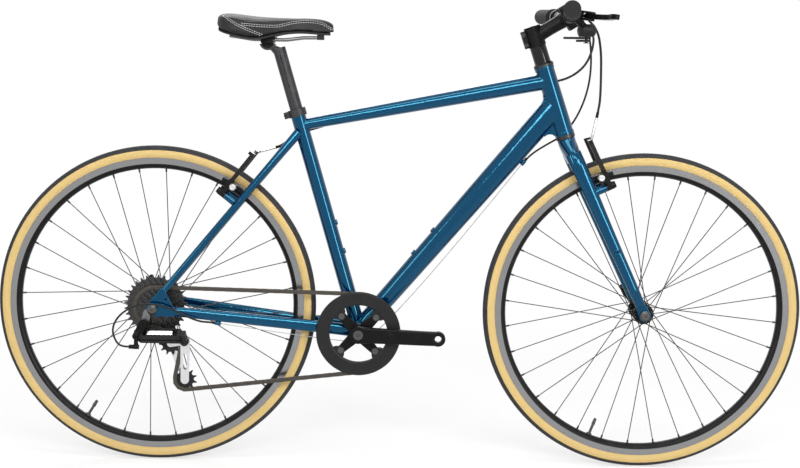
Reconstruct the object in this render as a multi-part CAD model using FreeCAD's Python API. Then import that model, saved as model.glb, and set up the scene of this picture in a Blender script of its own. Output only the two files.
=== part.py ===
import FreeCAD
import Part
import math
import os

# Flat-bar hybrid bicycle, in millimetres. X points forward, Y to the rider's left, Z up.
# The origin lies on the ground midway between the two axles; the drive side is at negative Y.

V = FreeCAD.Vector

# Wheels: 32-622 tyres on rim-brake rims
WHEELBASE = 1047.0
BEAD_SEAT_R = 311.0
TYRE_SECTION = 32.0
TYRE_WALL = 2.8
RIM_WIDTH = 24.0
RIM_DEPTH = 23.0
RIM_FLANGE = 6.0
RIM_WALL = 1.6
SPOKES = 32
SPOKE_R = 1.0
SPOKE_CROSSES = 3
NIPPLE_R = 2.0
FLANGE_GROOVE = 25.0
SKEWER_NUT_R = 11.0
VALVE_R = 3.0
VALVE_LENGTH = 38.0
REAR_VALVE_ANGLE = 238.3
FRONT_VALVE_ANGLE = 249.3

# Hubs and quick releases
FRONT_OLD = 100.0
REAR_OLD = 135.0
FRONT_AXLE_R = 4.5
REAR_AXLE_R = 5.0
BEARING_R = 11.0
BEARING_WIDTH = 8.0
RUN_CLEAR = 0.05
FLANGE_THICK = 3.2
FRONT_FLANGE_R = 22.0
REAR_FLANGE_R = 27.0
FLANGE_EDGE = 4.0
DROPOUT_THICK = 6.0
SKEWER_R = 2.5

# Frame angles and lengths
BB_DROP = 50.0
CHAINSTAY = 439.5
SEAT_ANGLE = 73.6
SEAT_TUBE_LENGTH = 494.0
HEAD_ANGLE = 71.3
FORK_RAKE = 45.0
FORK_LENGTH = 408.0
HEAD_TUBE_LENGTH = 152.0
HEAD_TUBE_R = 20.0
HEAD_TUBE_BORE_R = 17.0
SEAT_TUBE_R = 15.9
SEATPOST_R = 13.6
BB_SHELL_R = 20.0
BB_SHELL_WIDTH = 68.0
BB_BORE_R = 17.0
TUBE_WALL = 1.8
STEERER_R = 14.3
FIT = 0.02

# Drivetrain
CHAIN_PITCH = 12.7
CHAIN_Y = -43.0
CHAINRING_TEETH = 42
SPROCKETS = (32, 28, 24, 21, 18, 15, 13, 11)
RUNNING_SPROCKET = 21
PULLEY_TEETH = 11
SPROCKET_PITCH = 4.8
SPROCKET_THICK = 1.85
ROLLER_R = 3.875
SEAT_R = 4.05
FREEHUB_R = 17.1
CRANK_LENGTH = 170.0
CRANK_ANGLE = -1.0
BOLT_CIRCLE_R = 52.0
GUARD_R = 90.5
PEDAL_THREAD_R = 7.14

REAR_AXLE = V(-WHEELBASE / 2, 0, BEAD_SEAT_R + TYRE_SECTION)
FRONT_AXLE = V(WHEELBASE / 2, 0, BEAD_SEAT_R + TYRE_SECTION)
BB = REAR_AXLE + V(math.sqrt(CHAINSTAY ** 2 - BB_DROP ** 2), 0, -BB_DROP)
SEAT_UP = V(-math.cos(math.radians(SEAT_ANGLE)), 0, math.sin(math.radians(SEAT_ANGLE)))
STEER_UP = V(-math.cos(math.radians(HEAD_ANGLE)), 0, math.sin(math.radians(HEAD_ANGLE)))
STEER_FORWARD = V(math.sin(math.radians(HEAD_ANGLE)), 0, math.cos(math.radians(HEAD_ANGLE)))
STEER_FOOT = FRONT_AXLE - STEER_FORWARD * FORK_RAKE
LEFT = V(0, 1, 0)

os.makedirs("parts", exist_ok=True)


def unit(v):
    return V(v).normalize()


def steer(s, forward=0.0, y=0.0):
    """Point at height s on the steering axis, moved forward and sideways."""
    return STEER_FOOT + STEER_UP * s + STEER_FORWARD * forward + LEFT * y


def seat(s, back=0.0, y=0.0):
    """Point at distance s up the seat tube from the bottom bracket, moved back and sideways."""
    return BB + SEAT_UP * s - V(-SEAT_UP.z, 0, SEAT_UP.x) * -back + LEFT * y


def rod(start, axis, radius, length):
    return Part.makeCylinder(radius, length, start, axis)


def rod_between(a, b, radius):
    return Part.makeCylinder(radius, (b - a).Length, a, b - a)


def ring(start, axis, outer, inner, length):
    return rod(start, axis, outer, length).cut(rod(start, axis, inner, length))


def cone(start, axis, r_start, r_end, length):
    return Part.makeCone(r_start, r_end, length, start, axis)


def block(centre, along, across, length, width, height):
    """Box about a centre: length runs along, width across, height along their cross product."""
    x = unit(along)
    y = unit(across - x * x.dot(across))
    z = x.cross(y)
    box = Part.makeBox(length, width, height, V(-length / 2, -width / 2, -height / 2))
    turn = FreeCAD.Matrix(x.x, y.x, z.x, centre.x, x.y, y.y, z.y, centre.y, x.z, y.z, z.z, centre.z, 0, 0,
                          0, 1)
    return box.transformGeometry(turn)


def outline(points):
    return Part.makePolygon(list(points) + [points[0]])


def plate(points, thickness):
    """Flat plate: outline points in order, thickened along a vector."""
    return Part.Face(outline(points)).extrude(thickness)


def slot_plate(a, b, r_a, r_b, thickness):
    """Tapered plate with round ends about a and b, thickened along a vector."""
    normal = unit(thickness)
    along = unit(b - a)
    side = normal.cross(along)
    body = plate([a + side * r_a, b + side * r_b, b - side * r_b, a - side * r_a], thickness)
    for centre, radius in ((a, r_a), (b, r_b)):
        body = body.fuse(rod(centre, normal, radius, thickness.Length))
    return body.removeSplitter()


def turned(profile, centre):
    """Solid of revolution about the Y axis through a centre, from (radius, y) points."""
    points = [centre + V(r, y, 0) for r, y in profile]
    face = Part.Face(outline(points))
    return face.revolve(centre, LEFT, 360)


def oval(centre, u, v, a, b):
    """Closed oval wire: half size a along u and b along v."""
    u = unit(u)
    v = unit(v)
    if abs(a - b) < 1e-6:
        curve = Part.Circle(centre, u.cross(v), a)
    elif a > b:
        curve = Part.Ellipse(centre + u * a, centre + v * b, centre)
    else:
        curve = Part.Ellipse(centre + v * b, centre - u * a, centre)
    return Part.Wire([curve.toShape()])


def soft_box(centre, u, v, a, b, corner):
    """Closed rectangle with round corners: half size a along u and b along v."""
    u = unit(u)
    v = unit(v)
    corner = min(corner, 0.95 * a, 0.95 * b)
    edges = []
    ends = ((1, 1), (-1, 1), (-1, -1), (1, -1))
    mids = []
    for i, (su, sv) in enumerate(ends):
        at = centre + u * (su * (a - corner)) + v * (sv * (b - corner))
        first = at + (u * (su * corner) if i % 2 == 0 else v * (sv * corner))
        last = at + (v * (sv * corner) if i % 2 == 0 else u * (su * corner))
        bulge = at + (u * su + v * sv) * (corner / math.sqrt(2))
        mids.append((first, bulge, last))
    for i, (first, bulge, last) in enumerate(mids):
        edges.append(Part.Arc(first, bulge, last).toShape())
        edges.append(Part.LineSegment(last, mids[(i + 1) % 4][0]).toShape())
    return Part.Wire(edges)


def loft(wires, ruled=False):
    return Part.makeLoft(wires, True, ruled)


def largest(shape):
    """The largest solid of a shape: a mitre leaves small offcuts inside the tube it meets."""
    return max(shape.Solids, key=lambda solid: solid.Volume)


def turn_about(shape, point, axis, degrees):
    shape = shape.copy()
    shape.rotate(point, axis, degrees)
    return shape


def cable(points, radius, name, bend=None):
    """Cable along straight runs and the largest tangent arcs that the runs leave room for."""
    edges = []
    at = points[0]
    radii = []
    for before, corner, after in zip(points, points[1:], points[2:]):
        d1 = unit(corner - before)
        d2 = unit(after - corner)
        half = d1.getAngle(d2) / 2
        shorter = min((corner - before).Length, (after - corner).Length)
        arc_r = bend if bend else 0.45 * shorter / math.tan(half)
        cut = arc_r * math.tan(half)
        start = corner - d1 * cut
        end = corner + d2 * cut
        middle = corner + unit(d2 - d1) * (arc_r / math.cos(half) - arc_r)
        edges.append(Part.LineSegment(at, start).toShape())
        edges.append(Part.Arc(start, middle, end).toShape())
        radii.append(arc_r)
        at = end
    edges.append(Part.LineSegment(at, points[-1]).toShape())
    path = Part.Wire(edges)
    section = Part.Wire([Part.makeCircle(radius, points[0], points[1] - points[0])])
    body = Part.BRepOffsetAPI.MakePipeShell(path)
    body.add(section)
    body.build()
    body.makeSolid()
    solid = Part.Solid(body.shape())
    share = solid.Volume / (math.pi * radius ** 2 * path.Length)
    low = min(radii) if radii else 0
    print("cable", name, "length %.0f" % path.Length, "least radius %.0f" % low,
          "volume share %.4f" % share)
    return solid


def save(node, *pieces):
    """One file for a node, holding its pieces as separate solids."""
    solids = []
    for piece in pieces:
        solids.extend(piece.Solids)
    Part.makeCompound(solids).exportStep("parts/%s.step" % node)


# Wheels

RIM_EDGE_R = BEAD_SEAT_R + RIM_FLANGE
RIM_INNER_R = RIM_EDGE_R - RIM_DEPTH
TRACK_INNER_R = RIM_INNER_R + 10.0
RIM_HALF = RIM_WIDTH / 2
BEAD_HALF = RIM_HALF - RIM_WALL
TYRE_R = TYRE_SECTION / 2 - 0.2
TYRE_RING_R = BEAD_SEAT_R + TYRE_SECTION - TYRE_R
TUBE_GAP = 0.4


def both_sides(half):
    """Mirror (radius, y) points given on the left half to close a rim section."""
    return half + [(r, -y) for r, y in reversed(half)]


def polar(centre, radius, degrees, y=0.0):
    a = math.radians(degrees)
    return centre + V(radius * math.cos(a), y, radius * math.sin(a))


def spoke_ends(centre, flange_y, flange_r, valve_angle):
    """Hub hole, rim hole, flange side and heads-out flag of every spoke of one wheel."""
    step = 360.0 / SPOKES
    pitch_r = flange_r - FLANGE_EDGE
    spread = SPOKE_CROSSES * 2 * step
    ends = []
    for side, y in flange_y.items():
        start = valve_angle + step / 2 + (step if side < 0 else 0)
        for k in range(SPOKES // 2):
            hub_angle = start + 2 * step * k
            outside = k % 2 == 0
            rim_angle = hub_angle + (spread if outside else -spread)
            off = FLANGE_THICK / 2 + SPOKE_R
            hub_y = y + side * (off if outside else -off)
            ends.append((polar(centre, pitch_r, hub_angle, hub_y), rim_angle, side, y, outside))
    return ends


def make_rim(centre, ends, valve_angle):
    section = both_sides([
        (RIM_INNER_R, 4.0),
        (RIM_INNER_R + 2.5, RIM_HALF - 3.5),
        (RIM_INNER_R + 6.0, RIM_HALF - 1.0),
        (TRACK_INNER_R, RIM_HALF),
        (RIM_EDGE_R, RIM_HALF),
        (RIM_EDGE_R, BEAD_HALF),
        (BEAD_SEAT_R - 0.1, BEAD_HALF),
        (BEAD_SEAT_R - 1.5, 7.0),
        (BEAD_SEAT_R - 4.5, 4.0),
    ])
    chamber = both_sides([
        (RIM_INNER_R + RIM_WALL, 3.5),
        (RIM_INNER_R + 4.2, BEAD_HALF - 2.8),
        (RIM_INNER_R + 7.0, BEAD_HALF - 0.9),
        (TRACK_INNER_R + 0.5, BEAD_HALF - 0.2),
        (BEAD_SEAT_R - 4.5, 7.2),
        (BEAD_SEAT_R - 4.5 - RIM_WALL, 4.2),
    ])
    rim = turned(section, centre).cut(turned(chamber, centre))
    holes = []
    for hub, rim_angle, side, y, outside in ends:
        inner = polar(centre, RIM_INNER_R - 2, rim_angle, side * NIPPLE_OFFSET)
        holes.append(rod(inner, inner - V(centre.x, inner.y, centre.z), NIPPLE_R + 0.4, 2 + 2 * RIM_WALL))
    inner = polar(centre, RIM_INNER_R - 2, valve_angle)
    holes.append(rod(inner, inner - centre, VALVE_R + 0.3, RIM_DEPTH))
    return rim.cut(Part.makeCompound(holes))


NIPPLE_OFFSET = 2.0
NIPPLE_LENGTH = 12.0


def spoke_seat(centre, rim_angle, side):
    """Point in the rim that a spoke on this side aims at."""
    return polar(centre, RIM_INNER_R + RIM_WALL, rim_angle, side * NIPPLE_OFFSET)


def make_spokes(centre, ends):
    """Every spoke with its bent head, and the nipple that holds it in the rim."""
    pieces = []
    for hub, rim_angle, side, y, outside in ends:
        seat_point = spoke_seat(centre, rim_angle, side)
        way = unit(seat_point - hub)
        out = side if outside else -side
        head_y = y - out * (FLANGE_THICK / 2 + 1.2)
        head = V(hub.x, head_y, hub.z)
        straight = rod_between(hub, seat_point - way * 2, SPOKE_R)
        bend = rod_between(head, hub, SPOKE_R)
        knee = Part.makeSphere(SPOKE_R, hub)
        button = rod(head, V(0, -out, 0), 2.1, 1.0)
        pieces.append(straight.multiFuse([bend, knee, button]))
        low = seat_point - way * (NIPPLE_LENGTH - 3)
        nipple = rod(low, way, NIPPLE_R, NIPPLE_LENGTH)
        flange = rod(seat_point + way * 0.6, way, NIPPLE_R + 1.0, 2.4)
        bore = rod(low, way, SPOKE_R + 0.03, NIPPLE_LENGTH)
        pieces.append(nipple.fuse(flange).cut(bore))
    return pieces


TYRE_ARCS = 30


def make_tyre(centre):
    """Tyre casing with its beads, open towards the rim, as equal arcs face to face."""
    def at(r, y):
        return centre + V(r, y, 0)
    over_rim = RIM_EDGE_R + 0.3
    outer_y = math.sqrt(TYRE_R ** 2 - (TYRE_RING_R - over_rim) ** 2)
    bead_y = BEAD_HALF - 0.2
    inner_r = TYRE_R - TYRE_WALL
    toe_y = bead_y - 2.5
    toe_r = TYRE_RING_R - math.sqrt(inner_r ** 2 - toe_y ** 2)
    edges = [Part.Arc(at(over_rim, -outer_y), at(TYRE_RING_R + TYRE_R, 0), at(over_rim, outer_y)).toShape()]
    right = [(over_rim, outer_y), (over_rim, bead_y), (BEAD_SEAT_R, bead_y), (BEAD_SEAT_R, toe_y),
             (toe_r, toe_y)]
    for (r1, y1), (r2, y2) in zip(right, right[1:]):
        edges.append(Part.LineSegment(at(r1, y1), at(r2, y2)).toShape())
    edges.append(Part.Arc(at(toe_r, toe_y), at(TYRE_RING_R + inner_r, 0), at(toe_r, -toe_y)).toShape())
    for (r1, y1), (r2, y2) in zip(right[::-1], right[-2::-1]):
        edges.append(Part.LineSegment(at(r1, -y1), at(r2, -y2)).toShape())
    turn = 360 / TYRE_ARCS
    arc = Part.Face(Part.Wire(edges)).revolve(centre, LEFT, turn)
    return [arc.rotated(centre, LEFT, i * turn) for i in range(TYRE_ARCS)]


def make_inner_tube(centre, valve_angle):
    """Inner tube, valve stem with its rim nut, and valve cap."""
    outer = TYRE_R - TYRE_WALL - TUBE_GAP
    tube = Part.makeTorus(TYRE_RING_R, outer, centre,
                          LEFT).cut(Part.makeTorus(TYRE_RING_R, outer - 1, centre, LEFT))
    inward = unit(centre - polar(centre, 1, valve_angle))
    base = polar(centre, TYRE_RING_R - outer + 0.5, valve_angle)
    tip_r = RIM_INNER_R - VALVE_LENGTH
    cap_base = polar(centre, tip_r + 14, valve_angle)
    stem = rod_between(base, cap_base, VALVE_R)
    nut = ring(polar(centre, RIM_INNER_R - 0.2, valve_angle), inward, 6.0, VALVE_R + FIT, 2.6)
    cap = cone(cap_base, inward, 4.0, 3.2, 14)
    return [tube.cut(stem), stem, nut, cap]


def make_hub(centre, ends, flange_y, flange_r, shell_r, span, bearings, axle_r):
    """Hub shell with two drilled flanges and two bearing seats; span is its y range."""
    low, high = span
    y_right = flange_y[-1]
    y_left = flange_y[1]
    half = FLANGE_THICK / 2
    neck = shell_r + 3
    bore = axle_r + 3
    profile = [
        (bore, low), (neck, low), (neck, y_right - half), (flange_r, y_right - half),
        (flange_r, y_right + half), (neck, y_right + half), (shell_r, y_right + 12), (shell_r, y_left - 12),
        (neck, y_left - half), (flange_r, y_left - half), (flange_r, y_left + half), (neck, y_left + half),
        (neck, high), (bore, high),
    ]
    shell = turned(profile, centre)
    cuts = []
    for hub, rim_angle, side, y, outside in ends:
        cuts.append(rod(V(hub.x, y - FLANGE_THICK, hub.z), LEFT, SPOKE_R + 0.3, 2 * FLANGE_THICK))
        cuts.append(rod(hub, spoke_seat(centre, rim_angle, side) - hub, SPOKE_R + 0.1, FLANGE_GROOVE))
    for y in bearings:
        cuts.append(rod(centre + V(0, y - BEARING_WIDTH / 2, 0), LEFT, BEARING_R + RUN_CLEAR,
                        BEARING_WIDTH))
    cuts.append(rod(centre + V(0, high - 3, 0), LEFT, BEARING_R + RUN_CLEAR, 3))
    cuts.append(rod(centre + V(0, low, 0), LEFT, BEARING_R + RUN_CLEAR, 3))
    return shell.cut(Part.makeCompound(cuts))


def make_axle(centre, old, axle_r, bearings):
    """Hollow axle, its bearings, its two locknuts, the skewer and the round skewer nut."""
    half = old / 2
    reach = half + DROPOUT_THICK - 0.5
    axle = ring(centre - LEFT * reach, LEFT, axle_r, SKEWER_R + 0.15, 2 * reach)
    pieces = [axle]
    for y in bearings:
        width = BEARING_WIDTH - 0.4
        pieces.append(ring(centre + V(0, y - width / 2, 0), LEFT, BEARING_R, axle_r + FIT, width))
    inner_left = max(bearings) + (BEARING_WIDTH - 0.4) / 2
    inner_right = min(bearings) - (BEARING_WIDTH - 0.4) / 2
    pieces.append(ring(centre + V(0, inner_left, 0), LEFT, axle_r + 3, axle_r + FIT, half - inner_left))
    pieces.append(ring(centre + V(0, -half, 0), LEFT, axle_r + 3, axle_r + FIT, half + inner_right))
    face = half + DROPOUT_THICK
    pin_y = face + QR_WASHER + 0.4 + QR_CAM_R
    skewer = rod(centre + V(0, -face - 8, 0), LEFT, SKEWER_R, face + 8 + pin_y)
    pieces.append(skewer.fuse(rod(centre + V(0, pin_y, 0) - QR_HINGE * 9, QR_HINGE, QR_PIN_R, 18)))
    nut = ring(centre + V(0, -face, 0), V(0, -1, 0), SKEWER_NUT_R, SKEWER_R + FIT, 6)
    dome = cone(centre + V(0, -face - 6, 0), V(0, -1, 0), SKEWER_NUT_R, 7.0,
                4).cut(rod(centre + V(0, -face - 12, 0), LEFT, 3, 8))
    pieces.append(nut.fuse(dome).cut(rod(centre + V(0, -face - 8, 0), LEFT, SKEWER_R + FIT,
                                         10)).removeSplitter())
    pieces.append(ring(centre + V(0, face, 0), LEFT, SKEWER_NUT_R, SKEWER_R + FIT, QR_WASHER))
    return pieces


QR_WASHER = 4.0
QR_CAM_R = 8.0
QR_PIN_R = 3.0
QR_LEVER_LENGTH = 58.0
QR_POINTS = unit(V(-0.6, 0, 0.8))
QR_HINGE = QR_POINTS.cross(LEFT)


def make_qr_lever(centre, old):
    """Quick-release lever: two round cam cheeks on the skewer's cross pin and a curved handle."""
    pin_y = old / 2 + DROPOUT_THICK + QR_WASHER + 0.4 + QR_CAM_R
    pin = centre + V(0, pin_y, 0)
    cheeks = []
    for side in (-1, 1):
        start = pin + QR_HINGE * (side * 6.0 - 2.0)
        cheeks.append(rod(start, QR_HINGE, QR_CAM_R, 4.0))
    sections = []
    for along, lift, width, thick in ((9.0, 0.0, 8.0, 4.5), (30.0, 3.0, 7.5, 3.0),
                                      (QR_LEVER_LENGTH, 4.0, 6.0, 2.2)):
        sections.append(soft_box(pin + QR_POINTS * along + LEFT * lift, QR_HINGE, LEFT, width, thick, 2.0))
    handle = loft(sections)
    necks = [block(pin + QR_POINTS * 6 + QR_HINGE * (6.0 * s), QR_POINTS, LEFT, 12, 9, 4.0) for s in (-1,
                                                                                                      1)]
    body = handle.multiFuse(cheeks + necks)
    return body.cut(rod(pin - QR_HINGE * 12, QR_HINGE, QR_PIN_R + RUN_CLEAR, 24))


FRONT_FLANGES = {-1: -35.0, 1: 35.0}
REAR_FLANGES = {-1: -21.0, 1: 35.0}
FRONT_BEARINGS = (-40.0, 40.0)
REAR_BEARINGS = (-20.0, 56.0)
FREEHUB_BEARINGS = (-31.0, -61.0)


def make_wheel(name, centre, old, flange_y, flange_r, shell_r, span, bearings, axle_bearings, axle_r,
               valve_angle):
    ends = spoke_ends(centre, flange_y, flange_r, valve_angle)
    save(name + "_rim", make_rim(centre, ends, valve_angle))
    save(name + "_spokes", *make_spokes(centre, ends))
    save(name + "_tyre", *make_tyre(centre))
    save(name + "_inner_tube", *make_inner_tube(centre, valve_angle))
    save(name + "_hub", make_hub(centre, ends, flange_y, flange_r, shell_r, span, bearings, axle_r))
    save(name + "_axle", *make_axle(centre, old, axle_r, axle_bearings))
    save(name + "_qr_lever", make_qr_lever(centre, old))


make_wheel("front", FRONT_AXLE, FRONT_OLD, FRONT_FLANGES, FRONT_FLANGE_R, 12.0, (-44.0, 44.0),
           FRONT_BEARINGS, FRONT_BEARINGS, FRONT_AXLE_R, FRONT_VALVE_ANGLE)
make_wheel("rear", REAR_AXLE, REAR_OLD, REAR_FLANGES, REAR_FLANGE_R, 15.0, (-25.0, 60.0),
           REAR_BEARINGS, REAR_BEARINGS + FREEHUB_BEARINGS, REAR_AXLE_R, REAR_VALVE_ANGLE)


# Frame

HEADSET_LOWER = 8.0
HEAD_LOW = FORK_LENGTH + HEADSET_LOWER
HEAD_HIGH = HEAD_LOW + HEAD_TUBE_LENGTH
TOP_TUBE_DROP_FRONT = 32.0
TOP_TUBE_DROP_REAR = 34.0
TOP_TUBE_R_REAR = 12.0
TOP_TUBE_R_FRONT = 17.5
DOWN_TUBE_RISE = 66.0
DOWN_TUBE_R_LOW = 19.5
DOWN_TUBE_R_HIGH = 26.0
SEATSTAY_JOIN = 452.0
BRAKE_PIVOT_Y = 40.0
BRAKE_PIVOT_R = 283.0
BRAKE_POST_R = 4.0
BRAKE_POST_LENGTH = 17.3
BRAKE_BOSS_R = 8.0
HANGER_BACK = 17.0
HANGER_DROP = 30.0
HANGER_THREAD_R = 5.0
BOSS_THREAD_R = 2.5
BOSS_R = 6.0
BOSS_HEIGHT = 3.0
BOSS_SPACING = 64.0


def tapered_tube(a, b, oval_a, oval_b, wall):
    """Hollow tube from a to b; each oval gives its half depth in the frame's plane and half width."""
    along = unit(b - a)
    depth = along.cross(LEFT)
    outer = loft([oval(p, depth, LEFT, d, w) for p, (d, w) in ((a, oval_a), (b, oval_b))], True)
    inner = loft([oval(p, depth, LEFT, d - wall, w - wall) for p, (d, w) in ((a, oval_a), (b, oval_b))],
                 True)
    return outer, outer.cut(inner)


head_low = steer(HEAD_LOW)
head_outer = rod(head_low, STEER_UP, HEAD_TUBE_R, HEAD_TUBE_LENGTH)
head_collars = [rod(steer(s), STEER_UP, HEAD_TUBE_R + 1.2, 7.0) for s in (HEAD_LOW, HEAD_HIGH - 7.0)]
head_outer = head_outer.multiFuse(head_collars).removeSplitter()
head_tube = head_outer.cut(rod(steer(HEAD_LOW - 1), STEER_UP, HEAD_TUBE_BORE_R, HEAD_TUBE_LENGTH + 2))

seat_outer = rod(BB, SEAT_UP, SEAT_TUBE_R, SEAT_TUBE_LENGTH)
bb_outer = rod(BB - LEFT * (BB_SHELL_WIDTH / 2), LEFT, BB_SHELL_R, BB_SHELL_WIDTH)
bb_shell = bb_outer.cut(rod(BB - LEFT * BB_SHELL_WIDTH, LEFT, BB_BORE_R, 2 * BB_SHELL_WIDTH))
seat_bore = rod(BB, SEAT_UP, SEATPOST_R + FIT, SEAT_TUBE_LENGTH + 1)
seat_tube = largest(seat_outer.cut(seat_bore).cut(bb_outer))

down_high = steer(HEAD_LOW + DOWN_TUBE_RISE)
down_outer, down_shell = tapered_tube(BB, down_high, (DOWN_TUBE_R_LOW, 18.0), (DOWN_TUBE_R_HIGH, 18.5),
                                      TUBE_WALL)
down_tube = largest(down_shell.cut(head_outer).cut(bb_outer).cut(seat_outer))

top_front = steer(HEAD_HIGH - TOP_TUBE_DROP_FRONT)
top_rear = seat(SEAT_TUBE_LENGTH - TOP_TUBE_DROP_REAR)
top_outer, top_shell = tapered_tube(top_rear, top_front, (TOP_TUBE_R_REAR, 13.0),
                                    (TOP_TUBE_R_FRONT, 17.0), TUBE_WALL)
top_tube = largest(top_shell.cut(head_outer).cut(seat_outer).cut(down_outer))

# Webs with a hollow curve that fill the corners above and below the down tube at the head tube
WEB_THICK = 18.0
WEB_CURVE_R = 15.0
WEB_ROOT = 8.0
WEB_ABOVE_END = 4.0


def line_meet(p, p_way, q, q_way):
    """Where two lines in the frame's plane cross."""
    along = ((q - p).cross(q_way)).y / p_way.cross(q_way).y
    return p + p_way * along


def corner_web(first, first_side, first_r, second, second_side, second_r, corner):
    """Web between two tubes, given by a point, the unit normal toward the corner's open side and the radius."""
    first_way = first_side.cross(LEFT)
    second_way = second_side.cross(LEFT)
    centre = line_meet(first + first_side * (first_r + WEB_CURVE_R), first_way,
                       second + second_side * (second_r + WEB_CURVE_R), second_way)
    outline = [centre, centre - first_side * (WEB_CURVE_R + WEB_ROOT), corner,
               centre - second_side * (WEB_CURVE_R + WEB_ROOT)]
    web = plate([p - LEFT * (WEB_THICK / 2) for p in outline], LEFT * WEB_THICK)
    web = web.cut(rod(centre - LEFT * WEB_THICK, LEFT, WEB_CURVE_R, 2 * WEB_THICK))
    web = web.cut(rod(steer(HEAD_LOW + WEB_ABOVE_END, 0), steer(HEAD_LOW, 0) - steer(HEAD_HIGH, 0), 100, 100))
    return largest(web.cut(head_outer).cut(top_outer).cut(down_outer))


down_side = unit(down_high - BB).cross(LEFT)
top_side = unit(top_front - top_rear).cross(LEFT) * -1
upper_web = corner_web(top_front, top_side, TOP_TUBE_R_FRONT, down_high, down_side, DOWN_TUBE_R_HIGH,
                       steer((HEAD_LOW + HEAD_HIGH) / 2, -HEAD_TUBE_R / 2))
lower_web = corner_web(head_low, STEER_FORWARD * -1, HEAD_TUBE_R, down_high, down_side * -1,
                       DOWN_TUBE_R_HIGH, down_high)

# Dropout plates, one each side; the right one carries the derailleur hanger
AXLE_SLOT = REAR_AXLE_R + 0.1
DROPOUT_R = 15.0
CS_END = REAR_AXLE + V(40, 0, -5)
SS_END = REAR_AXLE + V(21, 0, 36)
RACK_EYE = REAR_AXLE + V(28, 0, 21)


def make_dropout(side):
    face = side * REAR_OLD / 2
    thick = LEFT * (side * DROPOUT_THICK)
    shift = LEFT * face
    body = slot_plate(REAR_AXLE + shift, CS_END + shift, DROPOUT_R, 11.0, thick)
    body = body.fuse(slot_plate(REAR_AXLE + shift, SS_END + shift, DROPOUT_R, 8.0, thick))
    body = body.fuse(slot_plate(CS_END + shift, SS_END + shift, 8.0, 7.0, thick))
    body = body.fuse(rod(RACK_EYE + shift, thick, 7.0, DROPOUT_THICK))
    slot = block(REAR_AXLE + shift + thick * 0.5 + V(0, 0, -15), V(0, 0, 1), LEFT, 30, 3 * DROPOUT_THICK,
                 2 * AXLE_SLOT)
    body = body.cut(slot).cut(rod(REAR_AXLE + shift - thick, thick, AXLE_SLOT, 3 * DROPOUT_THICK))
    body = body.cut(rod(RACK_EYE + shift - thick, thick, BOSS_THREAD_R, 3 * DROPOUT_THICK))
    return largest(body)


hanger_bolt = REAR_AXLE + V(-HANGER_BACK, -REAR_OLD / 2, -HANGER_DROP)
HANGER_THICK = 7.0
hanger = slot_plate(REAR_AXLE + V(-11, -REAR_OLD / 2, -8), hanger_bolt, 8.0, 8.5, V(0, -HANGER_THICK, 0))
right_dropout = make_dropout(-1)
hanger = hanger.cut(right_dropout).cut(rod(REAR_AXLE + V(0, -REAR_OLD, 0), LEFT, AXLE_SLOT + 3, REAR_OLD))
hanger = hanger.cut(block(REAR_AXLE + V(0, -REAR_OLD / 2, -15), V(0, 0, 1), LEFT, 30, 40, 2 * AXLE_SLOT))
hanger = largest(hanger.cut(rod(hanger_bolt + V(0, 5, 0), V(0, -1, 0), HANGER_THREAD_R, 20)))
left_dropout = make_dropout(1)

# Stays: ovals along the way from the bottom bracket or seat tube to the dropouts
stay_way = unit(CS_END - BB)
stay_rise = stay_way.cross(LEFT) * -1
stay_span = (CS_END - BB).Length
STAY_STATIONS = ((4.0, 22.0, 13.5, 8.0), (92.0, 27.5, 12.8, 7.2), (150.0, 34.0, 12.5, 7.5),
                 (270.0, 48.5, 12.0, 8.0), (stay_span - 6, 66.0, 10.0, 6.0))


def make_chainstay(side):
    wires = []
    inner = []
    for along, y, tall, wide in STAY_STATIONS:
        centre = BB + stay_way * along + LEFT * (side * y)
        wires.append(oval(centre, stay_rise, LEFT, tall, wide))
        inner.append(oval(centre, stay_rise, LEFT, tall - TUBE_WALL, wide - TUBE_WALL))
    stay = loft(wires).cut(loft(inner))
    blockers = (bb_outer, seat_outer, down_outer, right_dropout, left_dropout)
    for other in blockers:
        stay = stay.cut(other)
    return largest(stay)


SEATSTAY_TOP_Y = 13.0
seatstay_top = seat(SEATSTAY_JOIN)
seatstay_way = unit(SS_END - seatstay_top)
seatstay_depth = seatstay_way.cross(LEFT)
seatstay_span = (SS_END - seatstay_top).Length
SEATSTAY_STATIONS = ((8.0, SEATSTAY_TOP_Y, 10.0, 8.0), (90.0, 27.0, 8.5, 7.0),
                     (170.0, 36.5, 8.0, 7.0), (300.0, 52.0, 7.8, 7.0), (seatstay_span - 4, 67.0, 7.0, 6.0))


def seatstay_point(along, y):
    return seatstay_top + seatstay_way * along + LEFT * y


def make_seatstay(side):
    wires = []
    inner = []
    for along, y, deep, wide in SEATSTAY_STATIONS:
        centre = seatstay_point(along, side * y)
        wires.append(oval(centre, seatstay_depth, LEFT, deep, wide))
        inner.append(oval(centre, seatstay_depth, LEFT, deep - TUBE_WALL, wide - TUBE_WALL))
    outer = loft(wires)
    stay = outer.cut(loft(inner))
    for other in (seat_outer, right_dropout, left_dropout, top_outer):
        stay = stay.cut(other)
    return outer, largest(stay)


right_seatstay_outer, right_seatstay = make_seatstay(-1)
left_seatstay_outer, left_seatstay = make_seatstay(1)
right_chainstay = make_chainstay(-1)
left_chainstay = make_chainstay(1)

# Bridge between the seatstays above the tyre, and wishbone plate near the seat tube
bridge_at = seatstay_point(82.0, 0)
bridge = rod(bridge_at - LEFT * 25, LEFT, 6.0, 50).cut(right_seatstay_outer).cut(left_seatstay_outer)
bridge = largest(bridge)
wish = block(seatstay_point(26.0, 0), seatstay_way, LEFT, 38, 22, 15)
wish = largest(wish.cut(right_seatstay_outer).cut(left_seatstay_outer).cut(seat_outer).cut(top_outer))


def stay_bridge():
    at = BB + stay_way * 62
    body = rod(at - LEFT * 26, LEFT, 6.5, 52)
    for stay in (right_chainstay_outer, left_chainstay_outer):
        body = body.cut(stay)
    return largest(body)


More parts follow.
